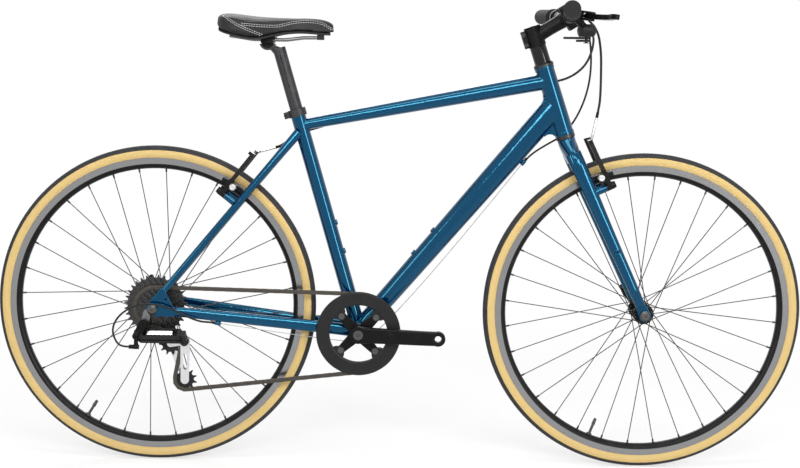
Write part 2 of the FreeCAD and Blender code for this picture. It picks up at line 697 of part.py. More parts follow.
def chainstay_outer(side):
    stations = [(BB + stay_way * along + LEFT * (side * y), tall, wide) for along, y, tall,
                wide in STAY_STATIONS]
    return loft([oval(c, stay_rise, LEFT, tall, wide) for c, tall, wide in stations])


right_chainstay_outer = chainstay_outer(-1)
left_chainstay_outer = chainstay_outer(1)

# Rim-brake frames: radial, tangential and sideways directions about each wheel
fork_way = unit(steer(FORK_LENGTH - 15) - FRONT_AXLE)
FRONT_BRAKE = (FRONT_AXLE, fork_way, unit(fork_way.cross(LEFT) * -1))
rear_radial = unit(seatstay_point(seatstay_span - BRAKE_PIVOT_R, 0) - REAR_AXLE)
REAR_BRAKE = (REAR_AXLE, rear_radial, unit(rear_radial.cross(LEFT)))
FRONT_POST_START = 23.0
REAR_POST_START = 21.0
BRAKE_BOSS_LENGTH = 12.0


def brake_point(brake, radius, ahead, y):
    axle, radial, tangent = brake
    return axle + radial * radius + tangent * ahead + LEFT * y


def brake_posts(brake, start, blockers):
    """Boss and pivot post on each side, square to the stay or blade that carries it."""
    posts = []
    for side in (-1, 1):
        base = brake_point(brake, BRAKE_PIVOT_R, start, side * BRAKE_PIVOT_Y)
        boss = rod(base - brake[2] * 12, brake[2], BRAKE_BOSS_R, 12 + BRAKE_BOSS_LENGTH)
        for other in blockers:
            boss = boss.cut(other)
        boss = max(boss.Solids, key=lambda solid: solid.CenterOfMass.dot(brake[2]))
        post = rod(base + brake[2] * BRAKE_BOSS_LENGTH, brake[2], BRAKE_POST_R, BRAKE_POST_LENGTH)
        posts.append(boss.fuse(post).removeSplitter())
    return posts


rear_posts = brake_posts(REAR_BRAKE, REAR_POST_START, (right_seatstay_outer, left_seatstay_outer))


def threaded_boss(base, axis, blocker):
    body = rod(base - axis * 4, axis, BOSS_R, 4 + BOSS_HEIGHT)
    return largest(body.cut(blocker)).cut(rod(base - axis * 12, axis, BOSS_THREAD_R, 20))


# Bottle bosses: two inside the triangle on the seat tube, two on the down tube
down_way = unit(down_high - BB)
down_normal = unit(down_way.cross(LEFT))
DOWN_BOSS_START = 205.0
SEAT_BOSS_START = 175.0
bosses = []
boss_points = []
for i in range(2):
    along = SEAT_BOSS_START + BOSS_SPACING * i
    base = seat(along, -SEAT_TUBE_R)
    bosses.append(threaded_boss(base, V(SEAT_UP.z, 0, -SEAT_UP.x), seat_outer))
    boss_points.append(base + V(SEAT_UP.z, 0, -SEAT_UP.x) * BOSS_HEIGHT)
for i in range(2):
    along = DOWN_BOSS_START + BOSS_SPACING * i
    depth = DOWN_TUBE_R_LOW + (DOWN_TUBE_R_HIGH - DOWN_TUBE_R_LOW) * along / (down_high - BB).Length
    base = BB + down_way * along + down_normal * depth
    bosses.append(threaded_boss(base, down_normal, down_outer))
    boss_points.append(base + down_normal * BOSS_HEIGHT)
seat_boss_holes = [rod(p - V(SEAT_UP.z, 0, -SEAT_UP.x) * 8, V(SEAT_UP.z, 0, -SEAT_UP.x), BOSS_THREAD_R, 10)
                   for p in boss_points[:2]]
down_boss_holes = [rod(p - down_normal * 8, down_normal, BOSS_THREAD_R, 10) for p in boss_points[2:]]
seat_tube = seat_tube.cut(Part.makeCompound(seat_boss_holes))
down_tube = down_tube.cut(Part.makeCompound(down_boss_holes))

# Cable stops: under the down tube, under the right chainstay, and on the left of the top tube
CABLE_R = 2.5
WIRE_R = 0.8
STOP_R = 4.5
DOWN_STOP_ALONG = 505.0
STAY_STOP_ALONG = 300.0
down_flare = DOWN_TUBE_R_HIGH - DOWN_TUBE_R_LOW
down_stop_r = DOWN_TUBE_R_LOW + down_flare * DOWN_STOP_ALONG / (down_high - BB).Length
down_stop = BB + down_way * DOWN_STOP_ALONG - down_normal * (down_stop_r + STOP_R - 0.6)
stay_stop = BB + stay_way * STAY_STOP_ALONG - stay_rise * (11.9 + STOP_R - 0.6) + LEFT * -51.6


def cable_stop(at, along, blocker):
    body = rod(at - along * 6, along, STOP_R, 12).cut(blocker)
    body = largest(body).cut(rod(at - along * 7, along, WIRE_R + 0.3, 20))
    return body.cut(rod(at, along, CABLE_R + 0.1, 10))


TOP_GUIDE_SHARES = (0.2, 0.5, 0.8)
top_way = unit(top_front - top_rear)
top_length = (top_front - top_rear).Length
TOP_GUIDE_R = 4.2


def top_guide_point(share):
    """Centre of the rear-brake cable beside the top tube's left flank, low down."""
    half = 13.0 + (17.0 - 13.0) * share
    low = unit(top_way.cross(LEFT)) * (TOP_TUBE_R_REAR * -0.45)
    return top_rear + top_way * (top_length * share) + LEFT * (half + TOP_GUIDE_R - 1.2) + low


def top_guide(share):
    at = top_guide_point(share)
    body = rod(at - top_way * 5, top_way, TOP_GUIDE_R, 10).cut(top_outer)
    return largest(body).cut(rod(at - top_way * 6, top_way, CABLE_R + 0.1, 12))


stops = [cable_stop(down_stop, down_way, down_outer),
         cable_stop(stay_stop, stay_way, right_chainstay_outer)]
guides = [top_guide(share) for share in TOP_GUIDE_SHARES]

# Guide plate under the bottom-bracket shell for the bare gear wire
bb_guide = block(BB - V(0, 0, BB_SHELL_R + 2.4), V(1, 0, 0), LEFT, 26, 30, 5.0)
bb_guide = largest(bb_guide.cut(bb_outer).cut(down_outer))

save("frame", head_tube, top_tube, down_tube, seat_tube, upper_web, lower_web, bb_shell, right_chainstay,
     left_chainstay,
     right_seatstay, left_seatstay, bridge, wish, stay_bridge(), right_dropout, left_dropout, *rear_posts,
     *bosses, *stops, *guides, bb_guide)
nut_room = rod(REAR_AXLE - LEFT * (REAR_OLD / 2 + DROPOUT_THICK), V(0, -1, 0), SKEWER_NUT_R + 0.3,
               HANGER_THICK)
save("derailleur_hanger", hanger.cut(nut_room))

# Fork

CROWN_R = 19.0
BLADE_LOW_Y = FRONT_OLD / 2 + DROPOUT_THICK / 2
STEERER_TOP = HEAD_HIGH + 8.0 + 37.0 + 39.0
STEERER_WALL = 1.6
BLADE_STATIONS = ((378.0, 30.0, 17.3, 12.5), (350.0, 37.0, 17.0, 12.5), (280.0, 40.0, 15.5, 11.0),
                  (150.0, 47.0, 12.5, 9.5), (22.0, BLADE_LOW_Y, 10.5, 7.5))
CROWN_STATIONS = ((360.0, 17.4, 47.4), (380.0, 18.4, 42.0), (394.0, 19.0, 32.0))
blade_side = unit(fork_way.cross(LEFT) * -1)


def make_blade(side, inset=0.0):
    wires = []
    for radius, y, deep, wide in BLADE_STATIONS:
        centre = FRONT_AXLE + fork_way * radius + LEFT * (side * y)
        wires.append(oval(centre, blade_side, LEFT, deep - inset, wide - inset))
    return loft(wires)


steerer = ring(steer(FORK_LENGTH - 4), STEER_UP, STEERER_R, STEERER_R - STEERER_WALL,
               STEERER_TOP - FORK_LENGTH + 4)
crown_sections = [oval(FRONT_AXLE + fork_way * radius, blade_side, LEFT, deep, wide)
                  for radius, deep, wide in CROWN_STATIONS]
crown_core = loft(crown_sections + [oval(steer(FORK_LENGTH), STEER_FORWARD, LEFT, CROWN_R, CROWN_R)])
arch = rod(FRONT_AXLE - LEFT * 60, LEFT, BEAD_SEAT_R + TYRE_SECTION + 12, 120)
crown = crown_core.cut(rod(steer(FORK_LENGTH - 60), STEER_UP, STEERER_R + FIT, 100)).cut(arch)
crown = largest(crown)
blades = []
fork_ends = []
front_blade_outers = []
for side in (-1, 1):
    outer = make_blade(side)
    front_blade_outers.append(outer)
    shift = LEFT * (side * FRONT_OLD / 2)
    thick = LEFT * (side * DROPOUT_THICK)
    fork_end = slot_plate(FRONT_AXLE + shift, FRONT_AXLE + fork_way * 34 + shift, 13.0, 9.0, thick)
    slot = block(FRONT_AXLE + shift - fork_way * 12, fork_way, LEFT, 24, 30, 2 * (FRONT_AXLE_R + 0.1))
    fork_end = fork_end.cut(slot).cut(rod(FRONT_AXLE + shift - thick, thick, FRONT_AXLE_R + 0.1, 18))
    fork_ends.append(largest(fork_end))
    blade = outer.cut(make_blade(side, TUBE_WALL)).cut(crown).cut(fork_ends[-1])
    blades.append(largest(blade))
front_posts = brake_posts(FRONT_BRAKE, FRONT_POST_START, front_blade_outers)
EYELET_R = 150.0
fork_eyes = []
for side, outer in zip((-1, 1), front_blade_outers):
    at = FRONT_AXLE + fork_way * EYELET_R + LEFT * (side * 56.0)
    eye = rod(at, V(0, side, 0), BOSS_R - 1, BOSS_HEIGHT).fuse(rod(at, V(0, -side, 0), BOSS_R - 1, 6))
    eye = max(eye.cut(outer).Solids, key=lambda solid: abs(solid.CenterOfMass.y))
    fork_eyes.append(eye.cut(rod(at - LEFT * (side * 20), V(0, side, 0), BOSS_THREAD_R, 40)))
blades = [blade.cut(rod(FRONT_AXLE + fork_way * EYELET_R + LEFT * (side * 48), V(0, side, 0), BOSS_THREAD_R,
                        12))
          for side, blade in zip((-1, 1), blades)]
save("fork", steerer, crown, *blades, *fork_ends, *front_posts, *fork_eyes)


# Chain line: circles in the plane of the chain, in the order that the chain meets them

def pitch_radius(teeth):
    return CHAIN_PITCH / (2 * math.sin(math.pi / teeth))


CAGE_PIVOT = V(-458.0, CHAIN_Y, 271.0)
GUIDE_OFFSET = V(-31.0, 0, -9.5)
TENSION_OFFSET = V(6.5, 0, -85.0)


def pulley_centres(cage_degrees):
    """Guide and tension pulley centres with the cage turned forward about its pivot."""
    turn = FreeCAD.Rotation(V(0, -1, 0), cage_degrees)
    return CAGE_PIVOT + turn.multVec(GUIDE_OFFSET), CAGE_PIVOT + turn.multVec(TENSION_OFFSET)


def chain_circles(cage_degrees):
    """Centre x and z, pitch radius and sense (1 turns with the crank) of sprocket, ring and pulleys."""
    guide, tension = pulley_centres(cage_degrees)
    small = pitch_radius(PULLEY_TEETH)
    return [(REAR_AXLE.x, REAR_AXLE.z, pitch_radius(RUNNING_SPROCKET), 1),
            (BB.x, BB.z, pitch_radius(CHAINRING_TEETH), 1),
            (tension.x, tension.z, small, 1),
            (guide.x, guide.z, small, -1)]


class ChainPath:
    """Closed loop of straight runs and arcs about the circles, measured by distance travelled."""

    def __init__(self, circles):
        self.parts = []
        count = len(circles)
        runs = []
        for i in range(count):
            x1, z1, r1, s1 = circles[i]
            x2, z2, r2, s2 = circles[(i + 1) % count]
            gap = math.hypot(x2 - x1, z2 - z1)
            heading = math.atan2(z2 - z1, x2 - x1) + math.asin((s2 * r2 - s1 * r1) / gap)
            nx = math.sin(heading)
            nz = -math.cos(heading)
            runs.append(((x1 - s1 * r1 * nx, z1 - s1 * r1 * nz), (x2 - s2 * r2 * nx, z2 - s2 * r2 * nz)))
        for i in range(count):
            start, end = runs[i]
            self.parts.append(("run", start, end, math.dist(start, end)))
            x, z, r, sense = circles[(i + 1) % count]
            leave = runs[(i + 1) % count][0]
            a_in = math.atan2(end[1] - z, end[0] - x)
            a_out = math.atan2(leave[1] - z, leave[0] - x)
            sweep = ((a_in - a_out) * sense) % (2 * math.pi)
            self.parts.append(("arc", (x, z, r, sense, a_in), sweep, r * sweep))
        self.length = sum(part[3] for part in self.parts)

    def at(self, s):
        s = s % self.length
        for kind, first, second, length in self.parts:
            if s <= length:
                break
            s -= length
        if kind == "run":
            t = s / length
            return (first[0] + (second[0] - first[0]) * t, first[1] + (second[1] - first[1]) * t)
        x, z, r, sense, a_in = first
        angle = a_in - sense * s / r
        return (x + r * math.cos(angle), z + r * math.sin(angle))

    def next_roller(self, s):
        here = self.at(s)
        low = s + CHAIN_PITCH * 0.99
        high = s + CHAIN_PITCH * 1.1
        for step in range(40):
            middle = (low + high) / 2
            if math.dist(here, self.at(middle)) < CHAIN_PITCH:
                low = middle
            else:
                high = middle
        return low

    def rollers(self, count):
        """Roller centres a pitch apart, and how far the last step falls short of the start."""
        places = [CHAIN_PITCH]
        for i in range(count):
            places.append(self.next_roller(places[-1]))
        return [self.at(s) for s in places[:-1]], self.length + CHAIN_PITCH - places[-1]


def solve_chain():
    """Cage angle at which an even number of links closes the loop."""
    count = 2 * round(ChainPath(chain_circles(0.0)).length / (2 * CHAIN_PITCH * 1.001))
    low = -25.0
    high = 25.0
    sign = ChainPath(chain_circles(low)).rollers(count)[1] > 0
    for step in range(50):
        middle = (low + high) / 2
        if (ChainPath(chain_circles(middle)).rollers(count)[1] > 0) == sign:
            low = middle
        else:
            high = middle
    return low, ChainPath(chain_circles(low)).rollers(count)[0]


CAGE_ANGLE, ROLLERS = solve_chain()
GUIDE, TENSION = pulley_centres(CAGE_ANGLE)
print("chain links", len(ROLLERS), "cage angle %.2f" % CAGE_ANGLE)


def roller_phase(centre, teeth):
    """Angle of a roller that is seated on a sprocket, so that its teeth stand between rollers."""
    radius = pitch_radius(teeth)
    seated = [p for p in ROLLERS if abs(math.hypot(p[0] - centre.x, p[1] - centre.z) - radius) < 0.01]
    x, z = seated[len(seated) // 2]
    return math.degrees(math.atan2(z - centre.z, x - centre.x))


SEAT_SPAN = 60.0
TOOTH_RISE = 3.2
TIP_HALF = 1.0


def sprocket(teeth, centre, y, thickness, phase, bore, holes=0, hole_at=0.0, hole_r=0.0):
    """Toothed plate with round roller seats, a centre bore and a ring of lightening holes."""
    radius = pitch_radius(teeth)
    base = V(centre.x, y - thickness / 2, centre.z)
    pitch = 360.0 / teeth
    tip_turn = math.degrees(TIP_HALF / (radius + TOOTH_RISE))
    edges = []
    first = None
    last = None
    for i in range(teeth):
        angle = phase + pitch * i
        at = polar(base, radius, angle)
        rising = []
        for turn in (-SEAT_SPAN, 0.0, SEAT_SPAN):
            rising.append(polar(at, SEAT_R, angle + 180 - turn))
        if last:
            edges.append(Part.LineSegment(last, rising[0]).toShape())
        else:
            first = rising[0]
        edges.append(Part.Arc(*rising).toShape())
        tip_1 = polar(base, radius + TOOTH_RISE, angle + pitch / 2 - tip_turn)
        tip_2 = polar(base, radius + TOOTH_RISE, angle + pitch / 2 + tip_turn)
        edges.append(Part.LineSegment(rising[2], tip_1).toShape())
        edges.append(Part.LineSegment(tip_1, tip_2).toShape())
        last = tip_2
    edges.append(Part.LineSegment(last, first).toShape())
    body = Part.Face(Part.Wire(edges)).extrude(LEFT * thickness)
    cuts = [rod(base - LEFT, LEFT, bore, thickness + 2)]
    for i in range(holes):
        cuts.append(rod(polar(base, hole_at, 360.0 / holes * i + 20) - LEFT, LEFT, hole_r, thickness + 2))
    return body.cut(Part.makeCompound(cuts))


# Cassette and freehub body

CASSETTE_BORE_R = FREEHUB_R + 0.15
phase_rear = roller_phase(REAR_AXLE, RUNNING_SPROCKET)
running_place = SPROCKETS.index(RUNNING_SPROCKET)
cassette = []
for k, teeth in enumerate(SPROCKETS):
    y = CHAIN_Y - (k - running_place) * SPROCKET_PITCH
    holes = 6 if teeth >= 21 else 0
    rim_room = pitch_radius(teeth) - 7 - CASSETTE_BORE_R - 3
    hole_r = min(6.5, rim_room / 2 - 1) if holes else 0.0
    hole_at = CASSETTE_BORE_R + 3 + rim_room / 2
    phase = phase_rear if teeth == RUNNING_SPROCKET else phase_rear + 7.0 * k
    cassette.append(sprocket(teeth, REAR_AXLE, y, SPROCKET_THICK, phase, CASSETTE_BORE_R, holes, hole_at,
                             hole_r))
    if k:
        gap = SPROCKET_PITCH - SPROCKET_THICK
        cassette.append(ring(V(REAR_AXLE.x, y + SPROCKET_THICK / 2, REAR_AXLE.z), LEFT,
                             CASSETTE_BORE_R + 1.2, CASSETTE_BORE_R, gap))
last_y = CHAIN_Y - (len(SPROCKETS) - 1 - running_place) * SPROCKET_PITCH - SPROCKET_THICK / 2
lock_r = pitch_radius(SPROCKETS[-1]) - SEAT_R - 0.3
lockring = ring(V(REAR_AXLE.x, last_y, REAR_AXLE.z), V(0, -1, 0), lock_r, 13.0, 2.6)
cassette.append(lockring)
save("cassette", *cassette)

freehub_in = -25.6
freehub_out = last_y
freehub = rod(V(REAR_AXLE.x, freehub_out, REAR_AXLE.z), LEFT, FREEHUB_R, freehub_in - freehub_out)
freehub = freehub.cut(rod(REAR_AXLE + V(0, -REAR_OLD, 0), LEFT, BEARING_R + RUN_CLEAR, REAR_OLD))
save("freehub_body", freehub)

# Bottom bracket, cranks, chainring and guard

SPINDLE_R = 8.5
SQUARE = 12.7
CUP_LIP = 2.5
RIGHT_FACE = -72.0
LEFT_FACE = 66.0
bb_half = BB_SHELL_WIDTH / 2
cartridge = ring(BB - LEFT * (bb_half - 8), LEFT, 14.0, SPINDLE_R + RUN_CLEAR, 2 * (bb_half - 8))
cups = []
for side in (-1, 1):
    out = V(0, side, 0)
    body = ring(BB + out * (bb_half - 22), out, BB_BORE_R - FIT, 14.0 + FIT, 22)
    cups.append(body.fuse(ring(BB + out * bb_half, out, BB_SHELL_R - 0.5, SPINDLE_R + 1.5,
                               CUP_LIP)).removeSplitter())
save("bottom_bracket_cartridge", cartridge, *cups)

crank_way = V(math.cos(math.radians(CRANK_ANGLE)), 0, math.sin(math.radians(CRANK_ANGLE)))
spindle_span = (RIGHT_FACE + 8, LEFT_FACE - 8)
spindle = rod(BB - LEFT * (bb_half + 6), LEFT, SPINDLE_R, 2 * (bb_half + 6))
for y in spindle_span:
    inner = bb_half + 4
    length = abs(y) - inner
    centre = BB + LEFT * (math.copysign(inner + length / 2, y))
    spindle = spindle.fuse(block(centre, LEFT, crank_way, length, SQUARE, SQUARE))
spindle = spindle.removeSplitter()
save("crank_spindle", spindle)

BOSS_OUT_R = 18.0
PEDAL_EYE_R = 15.5
SPIDER_TAB_R = 8.5
RING_FACE = CHAIN_Y - 1.0
SPIDER_THICK = 5.5
GUARD_THICK = 4.0


def make_crank(side, way):
    """Crank arm with its square socket and threaded pedal eye; the arm leans outward to its end."""
    face = RIGHT_FACE if side < 0 else LEFT_FACE
    inner_face = face - side * 24
    end_y = face + side * 13
    across = way.cross(LEFT)
    out = V(0, side, 0)
    hub = rod(BB + LEFT * inner_face, out, BOSS_OUT_R, 24)
    sections = []
    for along, y, wide, thick in ((4.0, face - side * 8, 17.5, 7.5), (40.0, face - side * 5, 16.5, 7.0),
                                  (120.0, end_y - side * 9.0, 15.5, 6.3),
                                  (CRANK_LENGTH, end_y - side * 6.5, 15.0, 6.5)):
        sections.append(soft_box(BB + way * along + LEFT * y, across, LEFT, wide, thick, 3.5))
    arm = loft(sections)
    eye = rod(BB + way * CRANK_LENGTH + LEFT * (end_y - side * 13), out, PEDAL_EYE_R, 13)
    body = arm.fuse(hub).fuse(eye)
    cuts = [block(BB + LEFT * (face - side * 15), LEFT, crank_way, 26, SQUARE + 2 * FIT, SQUARE + 2 * FIT)]
    cuts.append(rod(BB + LEFT * (face - side * 8), out, 11.0, 12))
    cuts.append(rod(BB + way * CRANK_LENGTH + LEFT * (end_y - side * 20), out, PEDAL_THREAD_R, 30))
    return body, Part.makeCompound(cuts)


def spider_points():
    return [polar(BB, BOLT_CIRCLE_R, CRANK_ANGLE + 45 + 90 * i) for i in range(4)]


right_body, right_cuts = make_crank(-1, crank_way)
for point in spider_points():
    tab = point + LEFT * (RING_FACE - SPIDER_THICK)
    root = BB + (point - BB) * 0.2 + LEFT * (RING_FACE - SPIDER_THICK)
    right_body = right_body.fuse(slot_plate(root, tab, 13.0, SPIDER_TAB_R, LEFT * SPIDER_THICK))
bolt_holes = [rod(point + LEFT * -70, LEFT, 5.0, 40) for point in spider_points()]
right_crank = largest(right_body.cut(right_cuts).cut(Part.makeCompound(bolt_holes)))
save("crank_right", right_crank)
left_body, left_cuts = make_crank(1, crank_way * -1)
save("crank_left", largest(left_body.cut(left_cuts)))

RING_INNER_R = 62.0
chainring = sprocket(CHAINRING_TEETH, BB, CHAIN_Y, 2.0, roller_phase(BB, CHAINRING_TEETH), RING_INNER_R)
for point in spider_points():
    chainring = chainring.fuse(slot_plate(point + LEFT * (CHAIN_Y - 1),
                                          point * 1.0 + unit(point - BB) * 12 + LEFT * (CHAIN_Y - 1),
                                          SPIDER_TAB_R, 16.0, LEFT * 2.0))
chainring = chainring.removeSplitter().cut(Part.makeCompound(bolt_holes))
save("chainring", largest(chainring))

guard_face = RING_FACE - SPIDER_THICK
guard = turned([(RING_INNER_R, guard_face - GUARD_THICK + 1), (RING_INNER_R + 2, guard_face - GUARD_THICK),
                (GUARD_R - 3, guard_face - GUARD_THICK), (GUARD_R, guard_face - 1.5), (GUARD_R,
                                                                                       guard_face + 1.5),
                (GUARD_R - 2, guard_face + 1.5), (GUARD_R - 2, guard_face), (RING_INNER_R, guard_face)], BB)
for point in spider_points():
    base = point + LEFT * (guard_face - GUARD_THICK + 1)
    guard = guard.fuse(slot_plate(base, base + unit(point - BB) * 12, SPIDER_TAB_R, 15.0,
                                  LEFT * (GUARD_THICK - 1)))
guard = largest(guard.removeSplitter().cut(Part.makeCompound(bolt_holes)))
save("chain_guard", guard)

BOLT_HEAD_R = 6.5
bolts = []
for point in spider_points():
    shank = rod(point + LEFT * (guard_face - GUARD_THICK + 1), LEFT, 4.9, GUARD_THICK + SPIDER_THICK + 1)
    head = ring(point + LEFT * (guard_face - GUARD_THICK + 1), V(0, -1, 0), BOLT_HEAD_R, 2.5, 1.6)
    back = rod(point + LEFT * (CHAIN_Y + 1), LEFT, BOLT_HEAD_R, 1.2)
    bolts.append(shank.fuse(head).fuse(back).removeSplitter())
for side, face in ((-1, RIGHT_FACE), (1, LEFT_FACE)):
    cap = ring(BB + LEFT * (face - side * 8), V(0, side, 0), 10.8, 4.0, 5)
    bolts.append(cap)
save("crankset_bolts", *bolts)

# Chain: an inner link and an outer link, placed in turn from roller to roller

PLATE_R = 4.1
INNER_GAP = 1.2
PLATE_THICK = 0.9
PIN_R = 1.8


def link_plates(first_y):
    plates = []
    for side in (-1, 1):
        start = V(0, side * first_y, 0)
        plates.append(slot_plate(start, start + V(CHAIN_PITCH, 0, 0), PLATE_R, PLATE_R,
                                 V(0, side * PLATE_THICK, 0)))
    return plates


def inner_link():
    rollers = [rod(V(x, -INNER_GAP, 0), LEFT, ROLLER_R, 2 * INNER_GAP) for x in (0, CHAIN_PITCH)]
    bores = [rod(V(x, -5, 0), LEFT, PIN_R + 0.1, 10) for x in (0, CHAIN_PITCH)]
    first, second = link_plates(INNER_GAP)
    return first.multiFuse([second] + rollers).cut(Part.makeCompound(bores))


def outer_link():
    start = INNER_GAP + PLATE_THICK + 0.2
    reach = start + PLATE_THICK + 0.3
    pins = [rod(V(x, -reach, 0), LEFT, PIN_R, 2 * reach) for x in (0, CHAIN_PITCH)]
    first, second = link_plates(start)
    return first.multiFuse([second] + pins)


inner_shape = inner_link()
outer_shape = outer_link()
links = []
for i, (x, z) in enumerate(ROLLERS):
    x2, z2 = ROLLERS[(i + 1) % len(ROLLERS)]
    link = (outer_shape if i % 2 else inner_shape).copy()
    link.rotate(V(0, 0, 0), V(0, -1, 0), math.degrees(math.atan2(z2 - z, x2 - x)))
    link.translate(V(x, CHAIN_Y, z))
    links.append(link)
save("chain", *links)

# Rear derailleur: slanted parallelogram between two knuckles, and a cage with two pulleys

SLANT = 40.0
LINK_LENGTH = 79.0
LINK_GAP = 16.0
LINK_PIN_R = 2.5
LUG_R = 6.0
LUG_HALF = 7.0
LINK_PLATE = 3.0
LINK_SIDE_GAP = 0.4
LINK_WEB_SHORT = 26.0
pin_axis = V(0, math.sin(math.radians(SLANT)), math.cos(math.radians(SLANT)))
swing_way = V(0, math.cos(math.radians(SLANT)), -math.sin(math.radians(SLANT)))
B_PINS = V(-546.0, -74.0, 286.0)
P_PINS = B_PINS + V(LINK_LENGTH, 0, 0)


def lug(pin):
    return rod(pin - pin_axis * LUG_HALF, pin_axis, LUG_R, 2 * LUG_HALF)


def pin_bore(pin):
    return rod(pin - pin_axis * 20, pin_axis, LINK_PIN_R + RUN_CLEAR, 40)


def make_link(offset, web_thick, web_shift):
    """Link with two plates outside the knuckles' lugs, a web between them and its two pins."""
    a = B_PINS + swing_way * offset
    b = P_PINS + swing_way * offset
    start = LUG_HALF + LINK_SIDE_GAP
    pieces = []
    for side in (-1, 1):
        base = pin_axis * (side * start)
        pieces.append(slot_plate(a + base, b + base, LUG_R, LUG_R, pin_axis * (side * LINK_PLATE)))
    middle = (a + b) * 0.5 + swing_way * web_shift
    pieces.append(block(middle, V(1, 0, 0), swing_way, LINK_LENGTH - LINK_WEB_SHORT, web_thick, 2 * start + 1))
    for pin in (a, b):
        reach = start + LINK_PLATE
        pieces.append(rod(pin - pin_axis * reach, pin_axis, LINK_PIN_R, 2 * reach))
    return pieces[0].multiFuse(pieces[1:]).removeSplitter()


half_gap = LINK_GAP / 2
save("derailleur_outer_link", make_link(-half_gap, 7.0, -1.5))
save("derailleur_inner_link", make_link(half_gap, 5.0, 1.5))

b_bolt = hanger_bolt + V(0, -HANGER_THICK, 0)
KNUCKLE_GAP = 0.3
b_pins = [B_PINS + swing_way * s for s in (-half_gap, half_gap)]
b_body = rod(b_bolt + V(0, -KNUCKLE_GAP, 0), V(0, -1, 0), 10.0, 14)
b_arm = slot_plate(b_bolt + V(0, -KNUCKLE_GAP, 0), V(B_PINS.x - 12, b_bolt.y - KNUCKLE_GAP, B_PINS.z), 10.0,
                   7.0, V(0, -9, 0))
b_back = block(B_PINS + V(-11, -2, 0), pin_axis, swing_way, 2 * LUG_HALF, LINK_GAP + 8, 8)
b_lugs = [lug(pin) for pin in b_pins]
b_bridge = [block(pin + V(-6, 0, 0), pin_axis, swing_way, 2 * LUG_HALF, 8, 10) for pin in b_pins]
b_knuckle = b_body.multiFuse([b_arm, b_back] + b_lugs + b_bridge)
LINK_SWEEP = (-20.0, -10.0, 0.0, 8.0, 15.0)
ROOM = 0.6


def link_room(pin, reach):
    """Space that a link's two plates sweep near one of its pins."""
    spaces = []
    for side in (-1, 1):
        base = pin + pin_axis * (side * (LUG_HALF + LINK_SIDE_GAP / 4))
        plate_room = slot_plate(base, base + reach, LUG_R + ROOM, LUG_R + ROOM,
                                pin_axis * (side * (LINK_PLATE + 2 * ROOM)))
        for turn in LINK_SWEEP:
            spaces.append(turn_about(plate_room, pin, pin_axis, turn))
    return Part.makeCompound(spaces)


for pin in b_pins:
    b_knuckle = b_knuckle.cut(link_room(pin, V(LINK_LENGTH / 2, 0, 0)))
for pin in b_pins:
    b_knuckle = b_knuckle.cut(pin_bore(pin))
b_knuckle = b_knuckle.cut(rod(b_bolt + V(0, 1, 0), V(0, -1, 0), HANGER_THREAD_R, 40))
bolt = rod(hanger_bolt, V(0, -1, 0), HANGER_THREAD_R - FIT, HANGER_THICK + KNUCKLE_GAP + 14)
bolt = bolt.fuse(ring(b_bolt + V(0, -KNUCKLE_GAP - 14, 0), V(0, -1, 0), 7.0, 3.0, 3.0)).removeSplitter()
adjuster_at = V(B_PINS.x - 15, B_PINS.y - 2, B_PINS.z - 16)
adjuster_seat = rod(adjuster_at + V(-3, 0, -8), V(1, 0, 0), 5.0, 12)
adjuster_arm = block(adjuster_at + V(3, 0, 4), V(0, 0, 1), LEFT, 26, 8, 8)
b_knuckle = b_knuckle.multiFuse([adjuster_seat, adjuster_arm])
adjuster = ring(adjuster_at + V(-3, 0, -8), V(-1, 0, 0), 4.5, WIRE_R + 0.3, 9)
ADJUSTER_MOUTH = adjuster_at + V(-12, 0, -8)
save("derailleur_b_knuckle", largest(b_knuckle), bolt, adjuster)

p_pins = [P_PINS + swing_way * s for s in (-half_gap, half_gap)]
PIVOT_PIN_R = 4.0
PIVOT_R = 9.0
PLATE_Y = CHAIN_Y - 4.4
CAGE_PLATE = 1.8
pivot_face = PLATE_Y - CAGE_PLATE - 0.3
p_drum = rod(V(CAGE_PIVOT.x, pivot_face, CAGE_PIVOT.z), V(0, -1, 0), PIVOT_R, 13)
p_lugs = [lug(pin) for pin in p_pins]
p_bridge = [block(pin + V(7, 0, 0), pin_axis, swing_way, 2 * LUG_HALF, 8, 12) for pin in p_pins]
p_front = block(P_PINS + V(11, 0, 0), pin_axis, swing_way, 2 * LUG_HALF, LINK_GAP + 8, 8)
p_neck = rod_between(P_PINS + V(11, 3, -1), V(CAGE_PIVOT.x + 2, pivot_face - 7, CAGE_PIVOT.z + 2), 6.0)
p_knuckle = p_drum.multiFuse(p_lugs + p_bridge + [p_front, p_neck])
for pin in p_pins:
    p_knuckle = p_knuckle.cut(pin_bore(pin))
p_knuckle = p_knuckle.cut(rod(V(CAGE_PIVOT.x, pivot_face + 1, CAGE_PIVOT.z), V(0, -1, 0),
                              PIVOT_PIN_R + RUN_CLEAR, 10))
save("derailleur_p_knuckle", largest(p_knuckle))

inner_plate_y = CHAIN_Y + 4.4
pivot = V(CAGE_PIVOT.x, 0, CAGE_PIVOT.z)
guide_at = V(GUIDE.x, 0, GUIDE.z)
tension_at = V(TENSION.x, 0, TENSION.z)
PULLEY_PIN_R = 2.5
outward = V(0, -CAGE_PLATE, 0)
outer_y = LEFT * PLATE_Y
cage_outer = slot_plate(pivot + outer_y, tension_at + outer_y, 10.0, 9.0, outward)
cage_outer = cage_outer.fuse(slot_plate(pivot + outer_y, guide_at + outer_y, 9.0, 7.0, outward))
window = (pivot * 0.62 + tension_at * 0.38) + LEFT * (PLATE_Y + 2)
cage_outer = cage_outer.cut(slot_plate(window, pivot * 0.3 + tension_at * 0.7 + LEFT * (PLATE_Y + 2), 4.5,
                                       3.5, V(0, -8, 0)))
inner_y = LEFT * inner_plate_y
cage_inner = slot_plate(guide_at + inner_y, tension_at + inner_y, 8.0, 8.0, LEFT * CAGE_PLATE)
